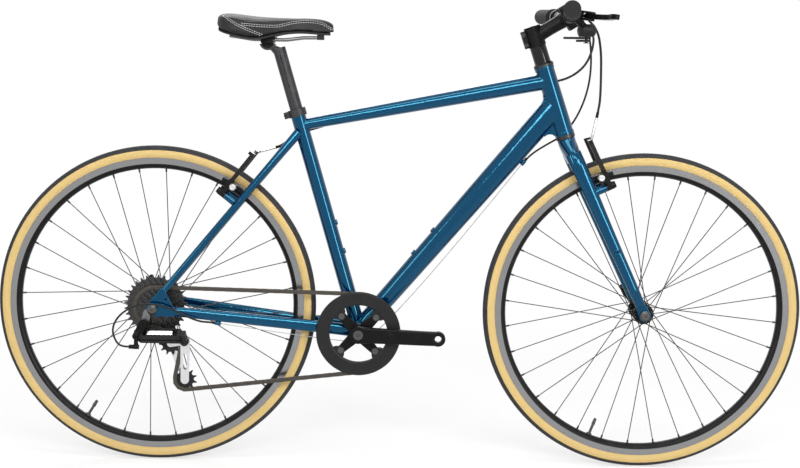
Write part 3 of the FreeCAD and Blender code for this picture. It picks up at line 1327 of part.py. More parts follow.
cage_pins = [rod(at + outer_y + outward, LEFT, PULLEY_PIN_R, inner_plate_y - PLATE_Y + 2 * CAGE_PLATE)
             for at in (guide_at, tension_at)]
pivot_pin = rod(pivot + outer_y, V(0, -1, 0), PIVOT_PIN_R, CAGE_PLATE + 8)
for pin in cage_pins:
    cage_outer = cage_outer.cut(pin)
    cage_inner = cage_inner.cut(pin)
cage_outer = largest(cage_outer).fuse(pivot_pin)
save("derailleur_cage", cage_outer, cage_inner, *cage_pins)
for node, at in (("guide_pulley", guide_at), ("tension_pulley", tension_at)):
    phase = roller_phase(at, PULLEY_TEETH)
    wheel = sprocket(PULLEY_TEETH, at, CHAIN_Y, 2.0, phase, PULLEY_PIN_R + RUN_CLEAR)
    collar = ring(at + LEFT * (CHAIN_Y - 3.8), LEFT, 6.5, PULLEY_PIN_R + RUN_CLEAR, 7.6)
    save(node, wheel.fuse(collar).removeSplitter())


# Headset, stem and handlebar

HEADSET_UPPER = 5.0
SPACER_STACK = 37.0
COVER_HEIGHT = 3.0
STEM_HEIGHT = 40.0
STEM_LENGTH = 83.0
STEM_RISE = 13.0
BAR_CLAMP_R = 15.9
BAR_R = 11.1
BAR_WALL = 2.0
BAR_HALF = 309.0
BAR_BEND_Y = 64.0
BAR_SWEEP = 6.5
BAR_RISE = 1.5
GRIP_R = 17.0
GRIP_INNER_Y = 182.0
spacer_r = STEERER_R + 3.2

lower_cup = ring(steer(FORK_LENGTH + 0.4), STEER_UP, HEAD_TUBE_R + 0.6, STEERER_R + RUN_CLEAR,
                 HEADSET_LOWER - 0.4)
lower_plug = ring(steer(HEAD_LOW), STEER_UP, HEAD_TUBE_BORE_R - FIT, STEERER_R + RUN_CLEAR, 11)
upper_cup = ring(steer(HEAD_HIGH), STEER_UP, HEAD_TUBE_R + 1.4, STEERER_R + RUN_CLEAR, HEADSET_UPPER)
upper_plug = ring(steer(HEAD_HIGH - 11), STEER_UP, HEAD_TUBE_BORE_R - FIT, STEERER_R + RUN_CLEAR, 11)
save("headset_bearings", lower_cup.fuse(lower_plug).removeSplitter(),
     upper_cup.fuse(upper_plug).removeSplitter())

cover_at = HEAD_HIGH + HEADSET_UPPER + 0.3
stack_at = cover_at + COVER_HEIGHT
cover = cone(steer(cover_at), STEER_UP, HEAD_TUBE_R + 1.0, spacer_r + 0.6, COVER_HEIGHT)
cover = cover.cut(rod(steer(cover_at - 1), STEER_UP, STEERER_R + FIT, COVER_HEIGHT + 2))
spacers = [cover]
for start, height in ((0.0, 0.55), (0.55, 0.27), (0.82, 0.18)):
    spacers.append(ring(steer(stack_at + SPACER_STACK * start), STEER_UP, spacer_r, STEERER_R + FIT,
                        SPACER_STACK * height - 0.1))
save("headset_spacers", *spacers)

stem_low = stack_at + SPACER_STACK
rise = math.radians(STEM_RISE)
stem_way = STEER_FORWARD * math.cos(rise) + STEER_UP * math.sin(rise)
stem_up = stem_way.cross(LEFT)
stem_heart = steer(stem_low + STEM_HEIGHT / 2)
BAR = stem_heart + stem_way * STEM_LENGTH
CLAMP_R = STEERER_R + 4.5
BAR_SHELL_R = BAR_CLAMP_R + 5.0
CLAMP_HALF = 22.0

clamp = rod(steer(stem_low), STEER_UP, CLAMP_R, STEM_HEIGHT)
neck = loft([oval(stem_heart + stem_way * 6, stem_up, LEFT, 16.5, 15.5),
             oval(stem_heart + stem_way * 40, stem_up, LEFT, 15.0, 14.5),
             oval(stem_heart + stem_way * (STEM_LENGTH - 12), stem_up, LEFT, 17.0, 16.5)])
bar_shell = rod(BAR - LEFT * CLAMP_HALF, LEFT, BAR_SHELL_R, 2 * CLAMP_HALF)
pinch = block(steer(stem_low + STEM_HEIGHT / 2, -CLAMP_R - 3), STEER_UP, LEFT, STEM_HEIGHT - 3, 20, 10)
body = clamp.multiFuse([neck, bar_shell, pinch])
front_half = block(BAR + stem_way * 40.8, stem_way, LEFT, 80, 80, 80)
back_half = block(BAR - stem_way * 39.2, stem_way, LEFT, 80, 80, 80)
bar_bore = rod(BAR - LEFT * 60, LEFT, BAR_CLAMP_R + FIT, 120)
slit = block(steer(stem_low + STEM_HEIGHT / 2, -CLAMP_R), STEER_UP, LEFT, STEM_HEIGHT + 4, 2.0, 26)
PINCH_HEIGHTS = (9.0, STEM_HEIGHT - 9.0)
pinch_holes = [rod(steer(stem_low + s, -CLAMP_R - 4.5, -30), LEFT, 2.6, 60) for s in PINCH_HEIGHTS]
face_spots = [(up, y) for up in (-1, 1) for y in (-15.0, 15.0)]
FACE_BOLT_UP = BAR_SHELL_R + 1.0


def face_bolt_point(up, y):
    return BAR + stem_up * (up * FACE_BOLT_UP) + LEFT * y


face_lugs = [rod(face_bolt_point(up, y) - stem_way * 13, stem_way, 5.0, 20) for up, y in face_spots]
face_holes = [rod(face_bolt_point(up, y) - stem_way * 14, stem_way, 2.6, 40) for up, y in face_spots]
cuts = [bar_bore, slit, rod(steer(stem_low - 1), STEER_UP, STEERER_R + FIT, STEM_HEIGHT + 2)]
stem = body.multiFuse(face_lugs).cut(front_half)
stem = largest(stem.cut(Part.makeCompound(cuts + pinch_holes + face_holes)))
save("stem", stem)
face = bar_shell.multiFuse(face_lugs).cut(back_half).cut(bar_bore).cut(Part.makeCompound(face_holes))
stem_bolts = []
for s in PINCH_HEIGHTS:
    shank = rod(steer(stem_low + s, -CLAMP_R - 4.5, -9.5), LEFT, 2.5, 19.5)
    stem_bolts.append(shank.fuse(ring(steer(stem_low + s, -CLAMP_R - 4.5, -10), V(0, -1, 0), 4.2, 2.0,
                                      4.5)))
for up, y in face_spots:
    at = face_bolt_point(up, y)
    shank = rod(at - stem_way * 12.5, stem_way, 2.5, 19.5)
    stem_bolts.append(shank.fuse(ring(at + stem_way * 7.0, stem_way, 4.2, 2.0, 4.0)))
save("stem_faceplate", largest(face.cut(Part.makeCompound(stem_bolts))))
save("stem_bolts", *stem_bolts)
cap_at = stem_low + STEM_HEIGHT
cap = rod(steer(cap_at), STEER_UP, CLAMP_R - 1.0, 3.0).cut(rod(steer(cap_at + 1.0), STEER_UP, 4.6, 3))
cap_bolt = ring(steer(cap_at + 1.05), STEER_UP, 4.4, 2.2, 2.4)
save("stem_cap", cap, cap_bolt)


def bar_way(side):
    """Direction of the bar outward of its bend."""
    sweep = math.radians(BAR_SWEEP)
    return unit(V(-math.sin(sweep), side * math.cos(sweep), math.tan(math.radians(BAR_RISE))))


def bar_at(side, y):
    """Point on the bar's axis at a distance y from the middle plane."""
    way = bar_way(side)
    bend = BAR + LEFT * (side * BAR_BEND_Y)
    return bend + way * ((y - BAR_BEND_Y) / abs(way.y))


bar_points = [bar_at(-1, BAR_HALF), bar_at(-1, BAR_BEND_Y), bar_at(1, BAR_BEND_Y), bar_at(1, BAR_HALF)]
bar_outer = cable(bar_points, BAR_R, "bar outside", 60.0)
bar_inner = cable([bar_points[0] - bar_way(-1) * -5] + bar_points[1:3] + [bar_points[3] + bar_way(1) * 5],
                  BAR_R - BAR_WALL, "bar bore", 60.0)
CLAMP_ZONE = 28.0
middle = rod(BAR - LEFT * CLAMP_ZONE, LEFT, BAR_CLAMP_R, 2 * CLAMP_ZONE)
tapers = [cone(BAR + LEFT * (side * CLAMP_ZONE), V(0, side, 0), BAR_CLAMP_R, BAR_R, 30.0) for side in (-1,
                                                                                                       1)]
handlebar = bar_outer.multiFuse([middle] + tapers).cut(bar_inner)
save("handlebar", largest(handlebar))

grips = []
for side in (-1, 1):
    way = bar_way(side)
    start = bar_at(side, GRIP_INNER_Y)
    length = (bar_at(side, BAR_HALF) - start).Length
    body = rod(start, way, GRIP_R, length + 4).fuse(rod(start, way, GRIP_R + 1.5, 5))
    body = body.removeSplitter()
    rounded = body.cut(rod(start, way, BAR_R + FIT, length + 0.1))
    grips.append(rounded)
save("grips", *grips)

# Brake levers in their brackets, one each side

BRACKET_Y = 152.0
LEVER_DIP = 8.0
LEVER_PIVOT = (36.0, 6.0)
LEVER_HALF = 5.0
LEVER_PIN_R = 2.5
BRACKET_HALF = 9.0
LEVER_ROUTE = ((36.0, 6.0, 8.0), (58.0, 30.0, 6.5), (74.0, 68.0, 5.5), (80.0, 112.0, 5.0),
               (86.0, 122.0, 5.5))


def lever_frame(side):
    """Origin on the bar, and the outward, forward and upward directions of a brake lever."""
    out = bar_way(side)
    ahead = unit(V(1, 0, 0) - out * out.x)
    up = ahead.cross(out)
    if up.z < 0:
        up = up * -1
    dip = math.radians(LEVER_DIP)
    forward = ahead * math.cos(dip) - up * math.sin(dip)
    normal = up * math.cos(dip) + ahead * math.sin(dip)
    return bar_at(side, BRACKET_Y), out, forward, normal


brackets = []
CABLE_MOUTH = {}
for side, name in ((-1, "right"), (1, "left")):
    origin, out, forward, normal = lever_frame(side)

    def spot(ahead, outward, lift=0.0):
        return origin + forward * ahead + out * outward + normal * lift

    bottom = normal * -BRACKET_HALF
    tall = normal * (2 * BRACKET_HALF)
    clamp_ring = rod(origin - out * 7, out, BAR_R + 4.5, 14)
    nose = slot_plate(spot(8, 0) + bottom, spot(*LEVER_PIVOT) + bottom, 9.0, 10.0, tall)
    barrel = rod(spot(28, 0), out * -1, 5.5, 22)
    bracket = clamp_ring.multiFuse([nose, barrel]).cut(rod(origin - out * 20, out, BAR_R + FIT, 40))
    gap = LEVER_HALF + 0.3
    mouth = block(spot(48, 20), forward, out, 50, 60, 2 * gap)
    bracket = bracket.cut(mouth).cut(rod(spot(28, 1), out * -1, CABLE_R + 0.1, 40))
    bracket = largest(bracket)
    pin = rod(spot(*LEVER_PIVOT) + bottom, normal, LEVER_PIN_R, 2 * BRACKET_HALF)
    adjuster_ring = ring(spot(28, -22), out * -1, 4.8, CABLE_R + 0.1, 9)
    CABLE_MOUTH[side] = (spot(28, -31), out * -1)
    brackets.extend([bracket.cut(pin), pin, adjuster_ring])
    lever = None
    for (f1, o1, r1), (f2, o2, r2) in zip(LEVER_ROUTE, LEVER_ROUTE[1:]):
        low = normal * -LEVER_HALF
        span = slot_plate(spot(f1, o1) + low, spot(f2, o2) + low, r1, r2, normal * (2 * LEVER_HALF))
        lever = lever.fuse(span) if lever else span
    lever = lever.removeSplitter().cut(rod(spot(*LEVER_PIVOT) - normal * 20, normal,
                                           LEVER_PIN_R + RUN_CLEAR, 40))
    save("brake_lever_" + name, lever)
save("brake_lever_brackets", *brackets)

# Gear shifter under the right of the bar, with a thumb lever and a release lever

SHIFTER_Y = 124.0
shift_at = bar_at(-1, SHIFTER_Y)
shift_out = bar_way(-1)
shift_clamp = rod(shift_at - shift_out * 6, shift_out, BAR_R + 4.0, 12)
pod_centre = shift_at + V(30, 0, -32) + shift_out * 6
POD = (34.0, 46.0, 25.0)
pod_wires = []
for lift, share in ((-POD[2] / 2, 0.82), (-POD[2] / 4, 1.0), (POD[2] / 4, 1.0), (POD[2] / 2, 0.8)):
    pod_wires.append(soft_box(pod_centre + V(0, 0, lift), V(1, 0, 0), LEFT, POD[0] / 2 * share,
                              POD[1] / 2 * share, 10.0))
pod = loft(pod_wires)
pod_neck = block(shift_at + V(14, 0, -14) + shift_out * 0, V(1, 0, -1), LEFT, 34, 12, 14)
shifter = pod.multiFuse([shift_clamp, pod_neck]).cut(rod(shift_at - shift_out * 20, shift_out, BAR_R + FIT,
                                                         40))
shift_nose = rod(pod_centre + V(4, POD[1] / 2 - 4, 0), LEFT, 6.0, 12)
SHIFT_MOUTH = pod_centre + V(4, POD[1] / 2 + 8, 0)
shifter = shifter.fuse(shift_nose)
SHIFT_PIN_R = 3.0
pod_low = pod_centre - V(0, 0, POD[2] / 2)
shift_pin = rod(pod_low + V(0, 0, 6), V(0, 0, -1), SHIFT_PIN_R, 18)
shift_cap = rod(pod_low - V(0, 0, 12), V(0, 0, -1), 6.0, 1.5)
shifter = largest(shifter.cut(rod(pod_low + V(0, 0, 6), V(0, 0, -1), SHIFT_PIN_R, 18)))
save("shifter_body", shifter, shift_pin.fuse(shift_cap).removeSplitter())


def shift_lever(drop, way, length, broad):
    base = pod_low - V(0, 0, drop)
    arm = slot_plate(base, base + way * length, 9.0, broad, V(0, 0, -4.5))
    return arm.cut(rod(base + V(0, 0, 5), V(0, 0, -1), SHIFT_PIN_R + RUN_CLEAR, 20))


save("shift_thumb_lever", shift_lever(0.5, unit(V(-0.8, 0.6, 0)), 46.0, 7.0))
save("shift_release_lever", shift_lever(6.0, unit(V(-0.35, 0.94, 0)), 34.0, 5.5))

# Rim-brake arms: each turns on its post and carries a pad, its bolt and, on one arm, a noodle

ARM_LENGTH = 104.0
ARM_THICK = 9.0
PAD_GAP = 2.5
PAD_LENGTH = 58.0
PAD_TALL = 9.0
PAD_THICK = 10.0
PAD_TRACK_R = TRACK_INNER_R + 5.0
NOODLE_R = 3.0
ARM_REACH = 8.3
STUD_SET_BACK = 10.0
WIRE_TOP_R = BRAKE_PIVOT_R + ARM_LENGTH - 1.0
FRONT_ARM_T = FRONT_POST_START + BRAKE_BOSS_LENGTH + ARM_REACH
REAR_ARM_T = REAR_POST_START + BRAKE_BOSS_LENGTH + ARM_REACH


def make_arm(brake, start, side, noodle):
    axle, radial, tangent = brake
    base = start + BRAKE_BOSS_LENGTH + 0.3
    middle_t = start + BRAKE_BOSS_LENGTH + ARM_REACH
    stud_t = middle_t - STUD_SET_BACK
    pivot = brake_point(brake, BRAKE_PIVOT_R, base, side * BRAKE_PIVOT_Y)
    barrel = rod(pivot, tangent, BRAKE_BOSS_R, 17)
    plate_at = tangent * (8.0 - ARM_THICK / 2)
    thick = tangent * ARM_THICK
    top_r = BRAKE_PIVOT_R + ARM_LENGTH
    low = pivot + plate_at
    waist = brake_point(brake, PAD_TRACK_R + 12, base, side * 43.0) + plate_at
    top = brake_point(brake, top_r, base, side * 38.0) + plate_at
    blade = slot_plate(low, waist, 8.0, 7.5, thick).fuse(slot_plate(waist, top, 7.5, 4.5, thick))
    stud_r = math.sqrt(PAD_TRACK_R ** 2 - stud_t ** 2)
    stud_at = brake_point(brake, stud_r, stud_t, 0)
    lug_at = brake_point(brake, stud_r, (stud_t + middle_t) / 2, side * 43.0)
    lug = block(lug_at, tangent, LEFT, STUD_SET_BACK + 13, 9, 15)
    pad_in = RIM_HALF + PAD_GAP
    out = V(0, side, 0)
    radial_here = unit(stud_at - axle)
    along = radial_here.cross(LEFT)
    pad_ring = ring(axle + out * pad_in, out, PAD_TRACK_R + PAD_TALL / 2, PAD_TRACK_R - PAD_TALL / 2, PAD_THICK)
    pad = pad_ring.common(block(stud_at + out * (pad_in + PAD_THICK / 2), along, LEFT, PAD_LENGTH,
                                2 * PAD_THICK, 6 * PAD_TALL))
    stud = rod(stud_at + out * (pad_in + PAD_THICK), out, 3.0, 50 - pad_in - PAD_THICK)
    washer = ring(stud_at + out * (pad_in + PAD_THICK), out, 7.0, 3.0, 6.0)
    nut = ring(stud_at + out * 50.5, out, 6.0, 3.0 + FIT, 4.0)
    stud = stud.fuse(rod(stud_at + out * 49, out, 3.0, 5.0)).removeSplitter()
    cap = rod(pivot + tangent * 17.2, tangent, 7.0, 3.5)
    arm = blade.multiFuse([barrel, lug]).cut(rod(pivot - tangent * 5, tangent, BRAKE_POST_R + RUN_CLEAR,
                                                 40))
    arm = largest(arm.removeSplitter().cut(stud).cut(washer).cut(nut))
    pieces = [arm, pad, stud, washer.cut(arm), nut, cap]
    if noodle:
        seat_block = rod(brake_point(brake, WIRE_TOP_R, middle_t, side * 44.0), V(0, -side, 0), 4.5, 16)
        points = [brake_point(brake, r, t, side * y) for r, t, y in noodle]
        pipe = cable(points, NOODLE_R, "noodle", 18.0)
        pieces[0] = pieces[0].cut(seat_block)
        pieces.extend([seat_block.cut(pipe), pipe])
    else:
        clamp_bolt = rod(brake_point(brake, WIRE_TOP_R, middle_t + ARM_THICK / 2, side * 37.0), tangent,
                         4.0, 5.0)
        pieces.append(clamp_bolt)
    return pieces


NOODLE_Y = 47.0
WIRE_END_Y = 16.0
FRONT_NOODLE = ((428.0, 74.0, NOODLE_Y), (WIRE_TOP_R, FRONT_ARM_T, NOODLE_Y),
                (WIRE_TOP_R, FRONT_ARM_T, WIRE_END_Y))
REAR_NOODLE = ((421.0, 16.0, NOODLE_Y), (WIRE_TOP_R, REAR_ARM_T, NOODLE_Y),
               (WIRE_TOP_R, REAR_ARM_T, WIRE_END_Y))
save("front_brake_arm_right", *make_arm(FRONT_BRAKE, FRONT_POST_START, -1, FRONT_NOODLE))
save("front_brake_arm_left", *make_arm(FRONT_BRAKE, FRONT_POST_START, 1, None))
save("rear_brake_arm_right", *make_arm(REAR_BRAKE, REAR_POST_START, -1, None))
save("rear_brake_arm_left", *make_arm(REAR_BRAKE, REAR_POST_START, 1, REAR_NOODLE))


# Seat collar, seatpost, saddle clamp

COLLAR_HEIGHT = 16.0
COLLAR_R = SEAT_TUBE_R + 3.4
POST_WALL = 2.4
POST_INSERT = 120.0
POST_EXPOSED = 141.5
SETBACK = 18.8
collar_low = seat(SEAT_TUBE_LENGTH - COLLAR_HEIGHT + 1.5)
collar_back = V(-SEAT_UP.z, 0, SEAT_UP.x)
collar = rod(collar_low, SEAT_UP, COLLAR_R, COLLAR_HEIGHT)
ear_centre = collar_low + SEAT_UP * (COLLAR_HEIGHT / 2) + collar_back * (COLLAR_R + 3)
ear = block(ear_centre, SEAT_UP, LEFT, COLLAR_HEIGHT - 2, 18, 12)
collar = collar.fuse(ear).cut(rod(collar_low - SEAT_UP, SEAT_UP, SEAT_TUBE_R + FIT, COLLAR_HEIGHT - 0.5))
collar = collar.cut(rod(collar_low, SEAT_UP, SEATPOST_R + 0.3, COLLAR_HEIGHT + 2))
collar_slit = block(ear_centre, SEAT_UP, LEFT, COLLAR_HEIGHT + 4, 2.0, 20)
bolt_at = ear_centre + collar_back * 2
collar = largest(collar.cut(collar_slit).cut(rod(bolt_at - LEFT * 20, LEFT, 2.6, 40)))
collar_bolt = rod(bolt_at - LEFT * 9.2, LEFT, 2.5,
                  18).fuse(ring(bolt_at - LEFT * 9.2, V(0, -1, 0), 4.3, 2.0, 4.5))
save("seat_collar", collar, collar_bolt.removeSplitter())

post_top = SEAT_TUBE_LENGTH + POST_EXPOSED
CLAMP_AXIS = seat(post_top + 12, SETBACK)
POST_SLIDE_CLEAR = 0.05
post_r = SEATPOST_R - POST_SLIDE_CLEAR + FIT
post = ring(seat(SEAT_TUBE_LENGTH - POST_INSERT), SEAT_UP, post_r, post_r - POST_WALL,
            POST_INSERT + POST_EXPOSED - 6)
CRADLE_R = 13.0
CRADLE_HALF = 16.0
head_loft = loft([oval(seat(post_top - 22), V(1, 0, 0), LEFT, post_r, post_r),
                  oval(seat(post_top - 4, SETBACK * 0.45), V(1, 0, 0), LEFT, 15.0, 14.0),
                  oval(CLAMP_AXIS + V(0, 0, -8), V(1, 0, 0), LEFT, 17.0, 16.0)])
cradle = rod(CLAMP_AXIS - LEFT * CRADLE_HALF, LEFT, CRADLE_R + 4, 2 * CRADLE_HALF)
keep_low = block(CLAMP_AXIS - V(0, 0, 29), V(1, 0, 0), LEFT, 90, 90, 50)
cradle = cradle.common(keep_low)
post_head = head_loft.fuse(cradle).cut(rod(CLAMP_AXIS - LEFT * 40, LEFT, CRADLE_R + 0.05, 80))
post = post.fuse(post_head).removeSplitter()
save("seatpost", largest(post))

RAIL_R = 3.5
RAIL_GAP_Y = 22.0
RAIL_Z = CLAMP_AXIS.z + 5.0
lower_clamp = rod(CLAMP_AXIS - LEFT * 29, LEFT, CRADLE_R, 58)
flat_top = block(CLAMP_AXIS + V(0, 0, 30), V(1, 0, 0), LEFT, 90, 90, 50)
lower_clamp = lower_clamp.cut(flat_top)
side_cut = [block(CLAMP_AXIS + V(0, s * 31, -12), V(1, 0, 0), LEFT, 60, 29, 20) for s in (-1, 1)]
rails_room = [rod(V(CLAMP_AXIS.x - 40, s * RAIL_GAP_Y, RAIL_Z), V(1, 0, 0), RAIL_R + FIT, 80) for s in (-1,
                                                                                                        1)]
lower_clamp = lower_clamp.cut(Part.makeCompound(rails_room)).cut(Part.makeCompound(side_cut))
upper_clamp = block(V(CLAMP_AXIS.x, 0, RAIL_Z + 4.5), V(1, 0, 0), LEFT, 34, 56, 8.4)
upper_clamp = upper_clamp.cut(Part.makeCompound(rails_room))
clamp_bolt = rod(V(CLAMP_AXIS.x, 0, CLAMP_AXIS.z - 10), V(0, 0, 1), 4.0, RAIL_Z - CLAMP_AXIS.z + 19)
clamp_bolt = clamp_bolt.fuse(rod(V(CLAMP_AXIS.x, 0, RAIL_Z + 8.8), V(0, 0, 1), 6.5, 4.0)).removeSplitter()
lower_clamp = largest(lower_clamp.cut(clamp_bolt))
upper_clamp = largest(upper_clamp.cut(clamp_bolt))
save("saddle_clamp", lower_clamp, upper_clamp, clamp_bolt)

# Saddle: padded cover over a moulded base on two rails

SADDLE_STATIONS = (
    (-394.0, 26.0, 963.0, 944.0), (-388.0, 48.0, 967.0, 936.0), (-372.0, 68.0, 970.0, 929.0),
    (-345.0, 77.0, 967.5, 922.0), (-315.0, 73.0, 963.5, 917.5), (-285.0, 56.0, 961.0, 922.0),
    (-255.0, 38.0, 961.0, 929.0), (-215.0, 27.0, 962.0, 932.0), (-180.0, 22.0, 961.0, 930.0),
    (-156.0, 17.0, 955.0, 929.0), (-147.0, 10.0, 948.0, 931.0),
)
COVER_DRAW_IN = 0.9
BASE_THICK = 4.0
BASE_GAP = 0.3
BASE_SHARE = 0.86
ARCH_RISE = 12.0
ARCH_SHARE = 0.2


def arch_rise(half):
    return min(ARCH_RISE, ARCH_SHARE * half)


def cover_wire(x, half, top, low):
    """Cross-section of the cover: arched under, sides drawn in below, crowned on top."""
    tall = top - low

    def at(share, z):
        return V(x, half * share, low + tall * z)

    edges = [Part.Arc(at(-COVER_DRAW_IN, 0), V(x, 0, low + arch_rise(half)),
                      at(COVER_DRAW_IN, 0)).toShape(),
             Part.Arc(at(COVER_DRAW_IN, 0), at(1.0, 0.42), at(0.86, 0.8)).toShape(),
             Part.Arc(at(0.86, 0.8), at(0, 1.0), at(-0.86, 0.8)).toShape(),
             Part.Arc(at(-0.86, 0.8), at(-1.0, 0.42), at(-COVER_DRAW_IN, 0)).toShape()]
    return Part.Wire(edges)


def base_wire(x, half, low):
    """Cross-section of the moulded base: a strip that follows the cover's arched underside."""
    edge = half * BASE_SHARE
    upper = low - BASE_GAP
    lower = upper - BASE_THICK
    rise = arch_rise(half)
    right_up = V(x, -edge, upper)
    left_up = V(x, edge, upper)
    right_low = V(x, -edge, lower)
    left_low = V(x, edge, lower)
    edges = [Part.Arc(right_up, V(x, 0, upper + rise), left_up).toShape(),
             Part.LineSegment(left_up, left_low).toShape(),
             Part.Arc(left_low, V(x, 0, lower + rise), right_low).toShape(),
             Part.LineSegment(right_low, right_up).toShape()]
    return Part.Wire(edges)


cover_body = loft([cover_wire(*station) for station in SADDLE_STATIONS])
save("saddle_cover", cover_body)
saddle_base = loft([base_wire(x, half, low) for x, half, top, low in SADDLE_STATIONS[1:-1]]).cut(cover_body)
REAR_SOCKET_X = -366.0
NOSE_SOCKET_X = -176.0
REAR_SOCKET_Y = 30.0
NOSE_SOCKET_Y = 7.0
REAR_RAIL_Z = 921.0
NOSE_RAIL_Z = 919.5
sockets = []
for side in (-1, 1):
    sockets.append(block(V(REAR_SOCKET_X, side * REAR_SOCKET_Y, REAR_RAIL_Z + 2), V(1, 0, 0), LEFT, 14, 16,
                         12))
sockets.append(block(V(NOSE_SOCKET_X, 0, NOSE_RAIL_Z + 2), V(1, 0, 0), LEFT, 14, 28, 13))
rails = []
for side in (-1, 1):
    route = [V(NOSE_SOCKET_X, side * NOSE_SOCKET_Y, NOSE_RAIL_Z), V(-212, side * 12.5, RAIL_Z + 5),
             V(-250, side * RAIL_GAP_Y, RAIL_Z), V(-318, side * RAIL_GAP_Y, RAIL_Z),
             V(REAR_SOCKET_X, side * REAR_SOCKET_Y, REAR_RAIL_Z)]
    rails.append(cable(route, RAIL_R, "saddle rail", 30.0))
save("saddle_rails", *rails)
saddle_base = saddle_base.multiFuse(sockets).cut(Part.makeCompound(rails)).cut(cover_body)
save("saddle_base", largest(saddle_base))


# Brake and gear cables

GEAR_R = 2.1


right_mouth, right_way = CABLE_MOUTH[-1]
left_mouth, left_way = CABLE_MOUTH[1]
front_noodle_top = brake_point(FRONT_BRAKE, FRONT_NOODLE[0][0], FRONT_NOODLE[0][1], -FRONT_NOODLE[0][2])
rear_noodle_top = brake_point(REAR_BRAKE, REAR_NOODLE[0][0], REAR_NOODLE[0][1], REAR_NOODLE[0][2])

TIP_GAP = 0.3
WIRE_SPAN = 49.0
front_guide = top_guide_point(TOP_GUIDE_SHARES[-1])
rear_guide = top_guide_point(TOP_GUIDE_SHARES[0])
front_bend = brake_point(FRONT_BRAKE, FRONT_NOODLE[1][0], FRONT_NOODLE[1][1], -FRONT_NOODLE[1][2])
rear_bend = brake_point(REAR_BRAKE, REAR_NOODLE[1][0], REAR_NOODLE[1][1], REAR_NOODLE[1][2])
front_noodle_way = unit(front_noodle_top - front_bend)
rear_noodle_way = unit(rear_noodle_top - rear_bend)
front_brake_route = [right_mouth, right_mouth + right_way * 28, V(402, -68, 944), V(412, -55, 900),
                     V(414, -50, 848),
                     V(414, -49.5, 800), front_noodle_top + front_noodle_way * 16,
                     front_noodle_top + front_noodle_way * TIP_GAP]
gear_route = [SHIFT_MOUTH + V(0, 0.8, 0), SHIFT_MOUTH + V(6, 22, -2), V(391, -42, 915), V(397, -18, 872),
              V(396, 4, 828), V(386, 20, 785), V(367, 28, 745), V(341, 26, 716), V(309, 10, 700),
              down_stop + down_way * 22, down_stop + down_way * TIP_GAP]
rear_front_route = [left_mouth, left_mouth + left_way * 28, V(411, 62, 941), V(408, 50, 905),
                    V(393, 41, 871),
                    V(366, 33, 848), V(333, 29, 835), front_guide + top_way * 16, front_guide + top_way * TIP_GAP]
front_housing = cable(front_brake_route, CABLE_R, "front brake housing")
gear_housing = cable(gear_route, GEAR_R, "gear housing")
rear_front_housing = cable(rear_front_route, CABLE_R, "rear brake housing, front")
front_wire = rod(brake_point(FRONT_BRAKE, WIRE_TOP_R, FRONT_ARM_T, TIP_GAP - WIRE_END_Y), LEFT, WIRE_R,
                 WIRE_SPAN)
front_boot = cone(brake_point(FRONT_BRAKE, WIRE_TOP_R, FRONT_ARM_T, 0.5 - WIRE_END_Y), LEFT, 4.2, 2.6, 26)
save("handlebar_cables", front_housing, gear_housing, rear_front_housing, front_wire,
     front_boot.cut(front_wire))

rear_rear_route = [rear_guide - top_way * TIP_GAP, rear_guide - top_way * 16, V(-200, 25, 722),
                   V(-230, 32, 715),
                   rear_noodle_top + rear_noodle_way * 16, rear_noodle_top + rear_noodle_way * TIP_GAP]
frame_housing = rod_between(front_guide, rear_guide, CABLE_R)
rear_housing = cable(rear_rear_route, CABLE_R, "rear brake housing, rear")
rear_wire = rod(brake_point(REAR_BRAKE, WIRE_TOP_R, REAR_ARM_T, WIRE_END_Y - TIP_GAP), V(0, -1, 0), WIRE_R,
                WIRE_SPAN)
rear_boot = cone(brake_point(REAR_BRAKE, WIRE_TOP_R, REAR_ARM_T, WIRE_END_Y - 0.5), V(0, -1, 0), 4.2, 2.6,
                 26)
bb_low = BB - V(0, 0, BB_SHELL_R + 7.0)
gear_wire_route = [down_stop - down_way * 6, bb_low + V(42, -2, 0), bb_low + V(-38, -9, 0),
                   stay_stop - stay_way * 6]
gear_wire = cable(gear_wire_route, WIRE_R, "gear wire", 60.0)

loop_route = [stay_stop + stay_way * TIP_GAP, stay_stop + stay_way * 18, V(-424, -63, 316),
              V(-450, -77, 329), V(-481, -83, 347), V(-512, -88, 356), V(-542, -88, 356.5),
              V(-571, -85, 347), V(-597, -81, 326), V(-609, -78, 299), V(-602, -76, 274), V(-590, -76, 262),
              ADJUSTER_MOUTH - V(TIP_GAP, 0, 0)]
loop_housing = cable(loop_route, GEAR_R, "derailleur loop")
save("frame_cables", frame_housing, rear_housing, rear_wire, rear_boot.cut(rear_wire), gear_wire,
     loop_housing)
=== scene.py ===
import math

import bmesh
import bpy
from bpy.props import FloatProperty, FloatVectorProperty, IntProperty, PointerProperty
from mathutils import Matrix, Vector


